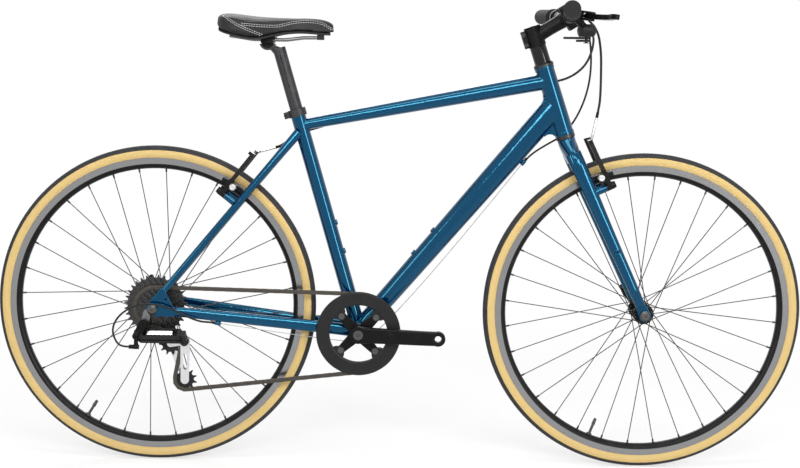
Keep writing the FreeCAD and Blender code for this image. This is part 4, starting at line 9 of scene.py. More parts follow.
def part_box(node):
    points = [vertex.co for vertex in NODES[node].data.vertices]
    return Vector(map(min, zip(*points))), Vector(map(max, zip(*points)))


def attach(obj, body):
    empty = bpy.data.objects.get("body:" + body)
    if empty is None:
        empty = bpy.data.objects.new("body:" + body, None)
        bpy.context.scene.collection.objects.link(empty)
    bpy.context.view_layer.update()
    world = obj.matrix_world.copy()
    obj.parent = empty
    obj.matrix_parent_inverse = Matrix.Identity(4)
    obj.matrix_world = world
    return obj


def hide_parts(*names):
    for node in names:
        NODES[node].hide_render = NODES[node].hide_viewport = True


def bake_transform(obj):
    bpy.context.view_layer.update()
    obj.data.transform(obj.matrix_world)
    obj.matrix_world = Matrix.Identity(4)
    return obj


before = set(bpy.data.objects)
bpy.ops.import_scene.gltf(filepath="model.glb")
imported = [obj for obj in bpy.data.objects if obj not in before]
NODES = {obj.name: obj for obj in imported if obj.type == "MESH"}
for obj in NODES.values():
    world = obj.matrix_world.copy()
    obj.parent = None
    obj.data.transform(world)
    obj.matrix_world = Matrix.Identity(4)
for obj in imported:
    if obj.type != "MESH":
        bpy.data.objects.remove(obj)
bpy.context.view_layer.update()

bl_info = {
    "name": "Hybrid Bicycle Looks",
    "version": (1, 0, 0),
    "blender": (4, 5, 0),
    "location": "View3D > Sidebar > Bicycle",
    "description": "Finishes, padded saddle, cables and studio for a flat-bar hybrid bicycle",
    "category": "Object",
}


def middle(node):
    """Centre of a CAD node's box, in the row frame."""
    low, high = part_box(node)
    return (Vector(low) + Vector(high)) / 2


REAR_AXLE = middle("rear_tyre")
FRONT_AXLE = middle("front_tyre")


# Sizes and colours that a user would change

class BicycleFinishes(bpy.types.PropertyGroup):
    """Colours of the bicycle's finishes."""

    paint: FloatVectorProperty(
        name="Frame paint", description="Gloss paint of the frame and fork",
        subtype="COLOR", default=(0.0003, 0.0095, 0.042), min=0, max=1)
    tan: FloatVectorProperty(
        name="Tyre side", description="Tan side wall of the tyres",
        subtype="COLOR", default=(0.5, 0.36, 0.145), min=0, max=1)
    tread: FloatVectorProperty(
        name="Tyre tread", description="Black tread rubber",
        subtype="COLOR", default=(0.018, 0.018, 0.019), min=0, max=1)
    black: FloatVectorProperty(
        name="Black alloy", description="Black anodised and painted alloy",
        subtype="COLOR", default=(0.005, 0.005, 0.0053), min=0, max=1)
    plastic: FloatVectorProperty(
        name="Black plastic", description="Moulded black plastic",
        subtype="COLOR", default=(0.0075, 0.0075, 0.008), min=0, max=1)
    rubber: FloatVectorProperty(
        name="Grip rubber", description="Soft rubber of the grips",
        subtype="COLOR", default=(0.0065, 0.0065, 0.007), min=0, max=1)
    silver: FloatVectorProperty(
        name="Machined alloy", description="Bare machined or polished alloy",
        subtype="COLOR", default=(0.62, 0.62, 0.63), min=0, max=1)
    chain: FloatVectorProperty(
        name="Chain steel", description="Oiled chain steel",
        subtype="COLOR", default=(0.075, 0.068, 0.06), min=0, max=1)
    hide: FloatVectorProperty(
        name="Saddle cover", description="Black synthetic leather of the saddle",
        subtype="COLOR", default=(0.011, 0.011, 0.0115), min=0, max=1)
    thread: FloatVectorProperty(
        name="Saddle thread", description="Pale stitching of the saddle",
        subtype="COLOR", default=(0.5, 0.5, 0.5), min=0, max=1)


class BicycleSizes(bpy.types.PropertyGroup):
    """Sizes of the soft and flexible pieces."""

    housing: FloatProperty(
        name="Brake housing", description="Radius of a brake cable housing",
        unit="LENGTH", default=0.0025)
    gear_housing: FloatProperty(
        name="Gear housing", description="Radius of a gear cable housing",
        unit="LENGTH", default=0.0021)
    wire: FloatProperty(
        name="Inner wire", description="Radius of a bare inner wire",
        unit="LENGTH", default=0.0008)
    voxel: FloatProperty(
        name="Saddle mesh", description="Voxel size of the saddle cover before it is inflated",
        unit="LENGTH", default=0.004)
    pressure: FloatProperty(
        name="Saddle pressure", description="Pressure that inflates the saddle cover",
        default=3.0)
    swell: FloatProperty(
        name="Saddle swell", description="Furthest that a point of the cover may move",
        unit="LENGTH", default=0.005)
    cloth_frames: IntProperty(
        name="Cloth frames", description="Steps of the saddle cover's cloth",
        default=16)


class BicycleStudio(bpy.types.PropertyGroup):
    """Camera and light of the studio."""

    eye: FloatVectorProperty(
        name="Camera", description="Where the camera stands",
        subtype="TRANSLATION", unit="LENGTH", default=(0.002, -3.117, 0.892))
    yaw: FloatProperty(
        name="Yaw", description="Camera turned about the vertical",
        subtype="ANGLE", default=math.radians(-0.06))
    pitch: FloatProperty(
        name="Pitch", description="Camera tipped up",
        subtype="ANGLE", default=math.radians(-7.11))
    roll: FloatProperty(
        name="Roll", description="Camera rolled about its view",
        subtype="ANGLE", default=math.radians(0.93))
    lens: FloatProperty(
        name="Lens", description="Focal length for a 36 mm wide sensor",
        subtype="DISTANCE_CAMERA", default=65.57)
    overhead: FloatProperty(
        name="Overhead light", description="Power of the long light overhead",
        subtype="POWER", default=24.0)
    strip: FloatProperty(
        name="Strip light", description="Power of the long narrow light in front",
        subtype="POWER", default=84.0)
    tall: FloatProperty(
        name="Tall light", description="Power of the tall light at the front wheel's side",
        subtype="POWER", default=46.0)
    fill: FloatProperty(
        name="Fill light", description="Power of the tall light at the rear wheel's side",
        subtype="POWER", default=22.0)
    back: FloatProperty(
        name="Back light", description="Power of the wide light behind the bicycle",
        subtype="POWER", default=45.0)
    sky: FloatProperty(
        name="Sky", description="Strength of the pale surroundings",
        default=0.4)
    floor: FloatVectorProperty(
        name="Floor", description="Colour of the plain floor",
        subtype="COLOR", default=(0.93, 0.93, 0.93), min=0, max=1)


# Shader arithmetic

class Value:
    """A shader socket that takes part in ordinary arithmetic; each operation adds one Math node."""

    def __init__(self, finish, socket):
        self.finish = finish
        self.socket = socket

    def maths(self, operation, *values):
        return self.finish.node("ShaderNodeMath", {"operation": operation}, dict(enumerate(values)))

    def __add__(self, other):
        return self.maths("ADD", self, other)

    __radd__ = __add__

    def __sub__(self, other):
        return self.maths("SUBTRACT", self, other)

    def __rsub__(self, other):
        return self.maths("SUBTRACT", other, self)

    def __mul__(self, other):
        return self.maths("MULTIPLY", self, other)

    __rmul__ = __mul__

    def __pow__(self, other):
        return self.maths("POWER", self, other)

    def sine(self):
        return self.maths("SINE", self)

    def size(self):
        return self.maths("ABSOLUTE", self)

    def angle_with(self, other):
        return self.maths("ARCTAN2", self, other)

    def between(self, low, high):
        """0 below low, 1 above high, and a smooth step from one to the other."""
        return self.finish.node("ShaderNodeMapRange", {"interpolation_type": "SMOOTHSTEP"},
                                {"Value": self, "From Min": low, "From Max": high})


class Shading:
    """A node tree that is written as expressions."""

    def __init__(self, tree):
        self.tree = tree
        self.tree.nodes.clear()
        self.place = None

    def node(self, kind, settings=None, inputs=None, output=0):
        """Adds a node with its settings and its inputs' values or links; gives one of its outputs, or all."""
        made = self.tree.nodes.new(kind)
        for key, value in (settings or {}).items():
            setattr(made, key, value)
        for key, value in (inputs or {}).items():
            self.feed(made.inputs[key], value)
        if output == "all":
            return [Value(self, socket) for socket in made.outputs]
        return Value(self, made.outputs[output]) if made.outputs else None

    def feed(self, socket, value):
        if isinstance(value, Value):
            self.tree.links.new(value.socket, socket)
        elif socket.type == "RGBA" and len(value) == 3:
            socket.default_value = (*value, 1.0)
        else:
            socket.default_value = value

    def point(self):
        """The surface point in the row frame, in metres."""
        if self.place is None:
            self.place = self.node("ShaderNodeTexCoord", output=3)
        return self.place

    def axes(self):
        return self.node("ShaderNodeSeparateXYZ", None, {0: self.point()}, "all")

    def noise(self, scale, detail=3.0):
        inputs = {"Vector": self.point(), "Scale": scale, "Detail": detail}
        return self.node("ShaderNodeTexNoise", None, inputs)

    def cells(self, feature, scale):
        """Small cells in the surface, as grains or pebbles have."""
        inputs = {"Vector": self.point(), "Scale": scale}
        return self.node("ShaderNodeTexVoronoi", {"feature": feature}, inputs)

    def rounded(self, radius, samples=4):
        """Normal that softens edges by a radius."""
        return self.node("ShaderNodeBevel", {"samples": samples}, {"Radius": radius})

    def mix(self, share, first, second):
        """Colour between two colours."""
        return self.node("ShaderNodeMix", {"data_type": "RGBA"}, {0: share, 6: first, 7: second}, 2)

    def bump(self, height, distance, strength=1.0, normal=None):
        inputs = {"Height": height, "Distance": distance, "Strength": strength}
        if normal:
            inputs["Normal"] = normal
        return self.node("ShaderNodeBump", None, inputs)

    def background_rays(self):
        """1 for rays that see the white studio: straight from the camera, mirrored or passed through."""
        path = self.node("ShaderNodeLightPath", output="all")
        seen = {out.socket.name: out for out in path}
        mirrored = seen["Is Camera Ray"].maths("MAXIMUM", seen["Is Camera Ray"], seen["Is Glossy Ray"])
        return mirrored.maths("MAXIMUM", mirrored, seen["Is Transmission Ray"])


class Finish(Shading):
    """One material: a Principled shader whose sockets are fed by expressions."""

    def __init__(self, name):
        self.material = bpy.data.materials.new(name)
        self.material.use_nodes = True
        super().__init__(self.material.node_tree)

    def finish(self, **sockets):
        """Connects the Principled shader; socket names use underscores for spaces."""
        inputs = {key.replace("_", " "): value for key, value in sockets.items()}
        shader = self.node("ShaderNodeBsdfPrincipled", None, inputs)
        self.node("ShaderNodeOutputMaterial", None, {"Surface": shader})
        return self.material


def dress(material, *nodes):
    """Gives CAD nodes one finish, each keeping its own shape."""
    for node in nodes:
        for slot in NODES[node].material_slots:
            slot.material = material


# Finishes

WHEEL_CENTRES = {"front": FRONT_AXLE, "rear": REAR_AXLE}
WELD_RADIUS = 0.0025
CASTING_EDGE = 0.0012
MACHINED_EDGE = 0.0006
DULL_GLOSS = 0.2


def shade(colour, share, lift=0.0):
    """A colour made lighter or darker by a share, and lifted by an even grey."""
    return tuple(share * c + lift for c in colour)


def wheel_polar(finish, centre):
    """Distance from an axle or bolt and angle round it, in metres and radians, and the place along it."""
    x, y, z = finish.axes()
    ahead = x - centre.x
    above = z - centre.z
    radius = (ahead * ahead + above * above) ** 0.5
    return radius, above.angle_with(ahead), y


PAINT_GLINT = (0.03, 0.6, 0.9)


def gloss_paint(colour):
    """Deep gloss paint over smooth welds: fine flake below a clear coat with a little orange peel."""
    finish = Finish("gloss_paint")
    flake = finish.noise(2600.0, 1.0).between(0.45, 0.75)
    cloud = finish.noise(6.0, 2.0)
    tone = finish.mix(cloud, shade(colour, 0.82), shade(colour, 1.25))
    weld = finish.rounded(WELD_RADIUS, 8)
    peel = finish.bump(finish.noise(420.0, 2.0), 0.00006, 0.15, weld)
    return finish.finish(Base_Color=tone, Roughness=0.1 + flake * 0.02, Specular_IOR_Level=1.0,
                         Specular_Tint=PAINT_GLINT, Coat_Weight=0.26, Coat_Roughness=0.03, Coat_IOR=1.5,
                         Normal=peel)


def satin_alloy(name, colour, roughness, metallic=0.35, grain=0.00004, lacquer=0.0):
    """Bead-blasted and coloured alloy: a fine even grain, a little paler where it is handled."""
    finish = Finish(name)
    blast = finish.noise(1800.0, 2.0)
    wear = finish.noise(38.0, 4.0).between(0.52, 0.8)
    tone = finish.mix(wear, colour, shade(colour, 1.6, 0.002))
    edge = finish.rounded(CASTING_EDGE)
    return finish.finish(Base_Color=tone, Metallic=metallic, Specular_IOR_Level=0.14,
                         Roughness=roughness + wear * 0.1 + blast * 0.06, Coat_Weight=lacquer,
                         Coat_Roughness=0.06, Normal=finish.bump(blast, grain, 0.5, edge))


def moulded_plastic(name, colour, roughness):
    """Spark-textured moulded plastic."""
    finish = Finish(name)
    spark = finish.cells("SMOOTH_F1", 1500.0)
    haze = finish.noise(24.0, 3.0)
    tone = finish.mix(haze, colour, shade(colour, 1.5, 0.001))
    return finish.finish(Base_Color=tone, Roughness=roughness + haze * 0.12, Specular_IOR_Level=0.18,
                         Normal=finish.bump(spark, 0.00005, 0.5))


def bright_metal(name, colour, roughness, dirt=0.25):
    """Turned or polished metal with fine scratches and a little grime in patches."""
    finish = Finish(name)
    scratch = finish.noise(900.0, 4.0)
    grime = finish.noise(60.0, 5.0).between(0.55, 0.85) * dirt
    tone = finish.mix(grime, colour, shade(colour, 0.35))
    edge = finish.rounded(MACHINED_EDGE)
    return finish.finish(Base_Color=tone, Metallic=1.0, Roughness=roughness + scratch * 0.14 + grime * 0.3,
                         Normal=finish.bump(scratch, 0.00002, 0.4, edge))


LINK_BAND = (0.1672, 0.1758)
LINK_AXIS = (0.643, 0.766)
BAND_EDGE = 0.0004


def link_alloy(black, silver):
    """Black link of the derailleur with a narrow polished band along its face."""
    finish = Finish("link_alloy")
    x, y, z = finish.axes()
    across = y * LINK_AXIS[0] + z * LINK_AXIS[1]
    low, high = LINK_BAND
    rises = across.between(low - BAND_EDGE, low)
    falls = across.between(high, high + BAND_EDGE)
    band = rises * (1.0 - falls)
    brushed = finish.noise(700.0, 3.0)
    return finish.finish(Base_Color=finish.mix(band, black, silver), Metallic=0.3 + band * 0.7,
                         Roughness=0.36 - band * 0.1 + brushed * 0.1, Specular_IOR_Level=DULL_GLOSS,
                         Normal=finish.bump(brushed, 0.00003, 0.4))


BOLT_RADIUS = 0.0068
PIPE_START = 0.392
BRIGHT_EDGE = 0.0003


def brake_alloy(which, bolt, black, silver):
    """Black brake arm whose pad bolt, given by a point on its axis, and cable pipe are bright metal."""
    finish = Finish(which + "_brake_alloy")
    from_axle = wheel_polar(finish, WHEEL_CENTRES[which])[0]
    from_bolt = wheel_polar(finish, bolt)[0]
    is_bolt = 1.0 - from_bolt.between(BOLT_RADIUS, BOLT_RADIUS + BRIGHT_EDGE)
    is_pipe = from_axle.between(PIPE_START, PIPE_START + BRIGHT_EDGE)
    bright = is_bolt.maths("MAXIMUM", is_bolt, is_pipe)
    blast = finish.noise(1500.0, 2.0)
    edge = finish.rounded(CASTING_EDGE)
    return finish.finish(Base_Color=finish.mix(bright, black, silver), Metallic=0.35 + bright * 0.65,
                         Roughness=0.34 - bright * 0.06 + blast * 0.08, Specular_IOR_Level=DULL_GLOSS,
                         Normal=finish.bump(blast, 0.00004, 0.5, edge))


TREAD_EDGE = 0.3335
TREAD_BLUR = 0.0003
TREAD_BLOCKS = 150
SIDE_RIBS = 330


def tyre_rubber(which, tan, tread):
    """Tan side wall with fine casing threads, and black tread with small angled grooves."""
    finish = Finish(which + "_tyre_rubber")
    radius, angle, y = wheel_polar(finish, WHEEL_CENTRES[which])
    edge_wobble = (finish.noise(240.0, 2.0) - 0.5) * 0.0006
    is_tread = (radius + edge_wobble).between(TREAD_EDGE - TREAD_BLUR, TREAD_EDGE + TREAD_BLUR)
    threads = (angle * float(SIDE_RIBS) + radius * 2600.0).sine() * 0.5 + 0.5
    slant = (angle * float(TREAD_BLOCKS) + y.size() * 900.0).sine().between(0.55, 0.85)
    centre_rib = y.size().between(0.0028, 0.0036)
    groove = is_tread * slant * centre_rib
    stain = finish.noise(70.0, 4.0)
    side = finish.mix(stain * 0.75 + threads * 0.12, tan, shade(tan, 0.86))
    top = finish.mix(stain, tread, shade(tread, 1.9))
    height = threads * (1.0 - is_tread) * 0.15 - groove
    return finish.finish(Base_Color=finish.mix(is_tread, side, top), Specular_IOR_Level=DULL_GLOSS,
                         Roughness=0.62 + is_tread * 0.16 - stain * 0.08,
                         Normal=finish.bump(height, 0.0006, 0.7))


TRACK_INNER = 0.3042
TRACK_Y = 0.0112
TRACK_BLUR = 0.0002


def rim_alloy(which, black, silver):
    """Black anodised rim whose two brake tracks are turned bare, with fine turning lines."""
    finish = Finish(which + "_rim_alloy")
    radius, angle, y = wheel_polar(finish, WHEEL_CENTRES[which])
    above = radius.between(TRACK_INNER - TRACK_BLUR, TRACK_INNER + TRACK_BLUR)
    track = above * y.size().between(TRACK_Y - 2 * TRACK_BLUR, TRACK_Y)
    lines = finish.node("ShaderNodeTexNoise", {"noise_dimensions": "1D"},
                        {"W": radius, "Scale": 9000.0, "Detail": 2.0})
    scuff = finish.noise(45.0, 4.0).between(0.5, 0.85)
    turned = shade(silver, 0.47)
    bare = finish.mix(lines * 0.35 + scuff * 0.2, turned, shade(turned, 0.45))
    haze = finish.mix(scuff, black, shade(black, 1.7, 0.005))
    return finish.finish(Base_Color=finish.mix(track, haze, bare), Metallic=0.3 + track * 0.7,
                         Roughness=0.36 - track * 0.14 + scuff * 0.1, Specular_IOR_Level=DULL_GLOSS,
                         Normal=finish.bump(lines * track, 0.00004, 0.5))


GRIP_RIBS = 950.0


def grip_rubber(colour):
    """Soft grip rubber with fine ribs along its length."""
    finish = Finish("grip_rubber")
    x, y, z = finish.axes()
    ribs = (y * GRIP_RIBS).sine().between(-0.2, 0.7)
    dust = finish.noise(55.0, 4.0)
    tone = finish.mix(dust * 0.6, colour, shade(colour, 1.6, 0.004))
    return finish.finish(Base_Color=tone, Roughness=0.66 + dust * 0.12, Specular_IOR_Level=DULL_GLOSS,
                         Normal=finish.bump(ribs + finish.noise(700.0) * 0.2, 0.0005, 0.6))


def saddle_hide(colour):
    """Synthetic leather: pebble grain that fades where it is stretched."""
    finish = Finish("saddle_hide")
    pebble = finish.cells("DISTANCE_TO_EDGE", 620.0)
    wrinkle = finish.noise(160.0, 4.0)
    wear = finish.noise(16.0, 3.0).between(0.45, 0.75)
    tone = finish.mix(wear, colour, shade(colour, 1.6, 0.003))
    height = pebble.between(0.0, 0.35) * 0.8 + wrinkle * 0.5
    return finish.finish(Base_Color=tone, Roughness=0.46 + wrinkle * 0.14 - wear * 0.05,
                         Specular_IOR_Level=DULL_GLOSS, Normal=finish.bump(height, 0.00035, 0.5))


def plain_finish(name, colour, roughness, metallic=0.0):
    """Small trim: one colour with a faint cloud and a fine grain."""
    finish = Finish(name)
    cloud = finish.noise(90.0, 3.0)
    tone = finish.mix(cloud, colour, shade(colour, 1.3, 0.004))
    return finish.finish(Base_Color=tone, Metallic=metallic, Roughness=roughness + cloud * 0.1,
                         Normal=finish.bump(finish.noise(1200.0, 2.0), 0.00003, 0.4))


# Shapes

CORD_SIDES = 5
CORD_STEPS = 8
TURNED_SIDES = 24


def keep_mesh(name, mesh, material, body):
    """Puts a finished mesh in the scene as a named piece; it rides on the given body, or on none when no body
    is given.
    """
    piece = bpy.data.objects.new(name, mesh)
    bpy.context.collection.objects.link(piece)
    mesh.name = name
    mesh.materials.clear()
    mesh.materials.append(material)
    for face in mesh.polygons:
        face.use_smooth = True
    if body:
        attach(piece, body)
    return piece


def curve_mesh(points, radius):
    """Mesh of a round cord along a smooth curve through the run of the points, with closed ends."""
    curve = bpy.data.curves.new("route", "CURVE")
    curve.dimensions = "3D"
    curve.bevel_depth = radius
    curve.bevel_resolution = CORD_SIDES
    curve.resolution_u = CORD_STEPS
    curve.use_fill_caps = True
    spline = curve.splines.new("NURBS")
    spline.points.add(len(points) - 1)
    for place, point in zip(spline.points, points):
        place.co = (*point, 1.0)
    spline.order_u = 3
    spline.use_endpoint_u = True
    holder = bpy.data.objects.new("route", curve)
    mesh = bpy.data.meshes.new_from_object(holder)
    bpy.data.objects.remove(holder)
    bpy.data.curves.remove(curve)
    return mesh


def turned_mesh(start, way, profile, sides=TURNED_SIDES):
    """Closed mesh turned about a line: profile is (distance along, radius) from end to end."""
    way = Vector(way).normalized()
    side = way.orthogonal().normalized()
    up = way.cross(side)
    made = bmesh.new()
    rings = []
    for along, radius in profile:
        ring = []
        for i in range(sides):
            a = 2 * math.pi * i / sides
            spot = Vector(start) + way * along + (side * math.cos(a) + up * math.sin(a)) * radius
            ring.append(made.verts.new(spot))
        rings.append(ring)
    for low, high in zip(rings, rings[1:]):
        for i in range(sides):
            j = (i + 1) % sides
            made.faces.new((low[i], low[j], high[j], high[i]))
    made.faces.new(list(reversed(rings[0])))
    made.faces.new(rings[-1])
    bmesh.ops.recalc_face_normals(made, faces=made.faces[:])
    mesh = bpy.data.meshes.new("turned")
    made.to_mesh(mesh)
    made.free()
    return mesh


# Cable routes in metres: the mouths of levers, stops and guides, then the loose bends between them

DOWN_STOP = Vector((0.2597, 0.0, 0.6614))
DOWN_WAY = Vector((0.643, 0.0, 0.766))
STAY_STOP = Vector((-0.3867, -0.0516, 0.3111))
STAY_WAY = Vector((-0.9936, 0.0, 0.1127))
TOP_WAY = Vector((0.982, 0.0, 0.1905))
FRONT_GUIDE = Vector((0.2049, 0.0192, 0.8106))
REAR_GUIDE = Vector((-0.1106, 0.0168, 0.7494))
RIGHT_MOUTH = Vector((0.3695, -0.1244, 0.9697))
LEFT_MOUTH = Vector((0.3695, 0.1244, 0.9697))
SHIFT_MOUTH = Vector((0.3749, -0.0982, 0.9418))
FRONT_NOODLE = Vector((0.408, -0.047, 0.7617))
FRONT_NOODLE_WAY = Vector((0.188, 0.0, 0.982))
REAR_NOODLE = Vector((-0.2743, 0.047, 0.6827))
REAR_NOODLE_WAY = Vector((0.963, 0.0, 0.270))
ADJUSTER_MOUTH = Vector((-0.573, -0.076, 0.262))
SHELL_LOW = Vector((-0.08685, 0.0, 0.266))
WIRE_TOP = {"front": Vector((0.3981, 0.0, 0.7106)), "rear": Vector((-0.3159, 0.0, 0.671))}
STRAND_STEEL = (0.34, 0.34, 0.34)
WIRE_END = 0.0157
WIRE_SPAN = 0.049
BOOT_PROFILE = ((0.0, 0.0042), (0.003, 0.0042), (0.005, 0.0033), (0.008, 0.0039), (0.010, 0.0031),
                (0.013, 0.0036), (0.015, 0.0028), (0.018, 0.0033), (0.020, 0.0025), (0.024, 0.0028),
                (0.026, 0.002))
LEVER_LEAD = 0.028
STOP_LEAD = 0.016
FERRULE_PROFILE = ((0.0, 0.0026), (0.0005, 0.0031), (0.011, 0.0031), (0.0125, 0.0027))


def lead(start, way, length):
    """A point straight out from a mouth."""
    return start + Vector(way).normalized() * length


FRONT_BRAKE_ROUTE = (RIGHT_MOUTH, lead(RIGHT_MOUTH, (0.113, 0.993, -0.026), LEVER_LEAD),
                     (0.402, -0.068, 0.944), (0.412, -0.055, 0.9), (0.414, -0.05, 0.848),
                     (0.414, -0.0495, 0.8),
                     lead(FRONT_NOODLE, FRONT_NOODLE_WAY, STOP_LEAD), FRONT_NOODLE)
GEAR_ROUTE = (SHIFT_MOUTH, (0.3809, -0.077, 0.9398), (0.391, -0.042, 0.915), (0.397, -0.018, 0.872),
              (0.396, 0.004, 0.828), (0.386, 0.02, 0.785), (0.367, 0.028, 0.745), (0.341, 0.026, 0.716),
              (0.309, 0.01, 0.7),
              lead(DOWN_STOP, DOWN_WAY, 0.022), DOWN_STOP)
REAR_BRAKE_ROUTE = (LEFT_MOUTH, lead(LEFT_MOUTH, (0.113, -0.993, -0.026), LEVER_LEAD), (0.411, 0.062, 0.941),
                    (0.408, 0.05, 0.905), (0.393, 0.041, 0.871), (0.366, 0.033, 0.848), (0.333, 0.029, 0.835),
                    lead(FRONT_GUIDE, TOP_WAY, STOP_LEAD), FRONT_GUIDE)
REAR_HOUSING_ROUTE = (REAR_GUIDE, lead(REAR_GUIDE, -TOP_WAY, STOP_LEAD), (-0.2, 0.025, 0.722),
                      (-0.23, 0.032, 0.715),
                      lead(REAR_NOODLE, REAR_NOODLE_WAY, STOP_LEAD), REAR_NOODLE)
LOOP_ROUTE = (STAY_STOP, lead(STAY_STOP, STAY_WAY, 0.018), (-0.424, -0.063, 0.316), (-0.45, -0.077, 0.329),
              (-0.481, -0.083, 0.347), (-0.512, -0.088, 0.356), (-0.542, -0.088, 0.3565),
              (-0.571, -0.085, 0.347), (-0.597, -0.081, 0.326), (-0.609, -0.078, 0.299),
              (-0.602, -0.076, 0.274), (-0.59, -0.076, 0.262),
              ADJUSTER_MOUTH)
GEAR_WIRE_ROUTE = (lead(DOWN_STOP, DOWN_WAY, -0.006), SHELL_LOW + Vector((0.042, -0.002, 0.0)),
                   SHELL_LOW + Vector((-0.038, -0.009, 0.0)), lead(STAY_STOP, STAY_WAY, -0.006))


class BICYCLE_OT_cables(bpy.types.Operator):
    """Lays the brake and gear cables, their ferrules and the brakes' bellows"""

    bl_idname = "bicycle.cables"
    bl_label = "Lay cables"

    def execute(self, context):
        sizes = context.scene.bicycle_sizes
        colours = context.scene.bicycle_finishes
        sheath = moulded_plastic("cable_sheath", colours.plastic, 0.34)
        strand = bright_metal("cable_strand", STRAND_STEEL, 0.3)
        ferrule = satin_alloy("ferrule_alloy", colours.black, 0.3)
        boot = plain_finish("bellows_rubber", colours.plastic, 0.6)
        front = self.lay("front_brake_housing", FRONT_BRAKE_ROUTE, sizes.housing, sheath, "front_end")
        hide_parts("handlebar_cables")
        frame_run = self.lay("top_tube_housing", (FRONT_GUIDE, REAR_GUIDE), sizes.housing, sheath, "frame")
        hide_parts("frame_cables")
        self.lay("rear_brake_end_housing", REAR_HOUSING_ROUTE, sizes.housing, sheath, "frame")
        self.lay("derailleur_loop", LOOP_ROUTE, sizes.gear_housing, sheath, "frame")
        self.lay("gear_wire", GEAR_WIRE_ROUTE, sizes.wire, strand, "frame", "steel")
        steered = {"gear_housing": (GEAR_ROUTE, sizes.gear_housing),
                   "rear_brake_housing": (REAR_BRAKE_ROUTE, sizes.housing)}
        for name, (route, radius) in steered.items():
            piece = self.lay(name, route, radius, sheath, None)
            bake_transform(piece)
        ends = (("front_brake_ferrule", RIGHT_MOUTH, FRONT_BRAKE_ROUTE[1], "front_end"),
                ("rear_brake_ferrule", LEFT_MOUTH, REAR_BRAKE_ROUTE[1], "front_end"),
                ("noodle_ferrule", FRONT_NOODLE, FRONT_BRAKE_ROUTE[-2], "front_end"),
                ("stay_ferrule", STAY_STOP, LOOP_ROUTE[1], "frame"),
                ("down_ferrule", DOWN_STOP, GEAR_ROUTE[-2], "frame"),
                ("rear_noodle_ferrule", REAR_NOODLE, REAR_HOUSING_ROUTE[-2], "frame"))
        for name, start, toward, body in ends:
            mesh = turned_mesh(start, Vector(toward) - start, FERRULE_PROFILE)
            keep_mesh(name, mesh, ferrule, body)
        for which, way, body in (("front", 1.0, "front_end"), ("rear", -1.0, "frame")):
            start = WIRE_TOP[which] - Vector((0.0, way * WIRE_END, 0.0))
            across = Vector((0.0, way, 0.0))
            bellows = turned_mesh(start, across, BOOT_PROFILE)
            keep_mesh(which + "_brake_bellows", bellows, boot, body)
            wire = curve_mesh((start + across * BOOT_PROFILE[-1][0], start + across * WIRE_SPAN), sizes.wire)
            keep_mesh(which + "_brake_wire", wire, strand, body)
        return {"FINISHED"}

    def lay(self, name, route, radius, material, body, slot_name="black_plastic"):
        return keep_mesh(name, curve_mesh(route, radius), material, body)


# Saddle cover

COVER_SINK = 0.0022
PINNED_FACING = -0.25
STITCH_LENGTH = 0.0034
STITCH_PITCH = 0.005
STITCH_RADIUS = 0.0005
STITCH_SIDES = 6
STITCH_LIFT = 0.4 * STITCH_RADIUS
BESIDE_SADDLE = 0.2
SOFTEN_STEPS = 6
CLOTH_QUALITY = 5
SEAM_GAP = 0.004
REAR_PANEL_SEAM = ((-0.3814, 0.9684), (-0.3593, 0.9529), (-0.336, 0.9404), (-0.312, 0.9313),
                   (-0.2833, 0.9195))
NOSE_SEAM = ((-0.3369, 0.9464), (-0.2987, 0.9435), (-0.2719, 0.9433), (-0.2572, 0.9453), (-0.2326, 0.9529),
             (-0.1987, 0.9555), (-0.1676, 0.9518), (-0.1521, 0.9384))


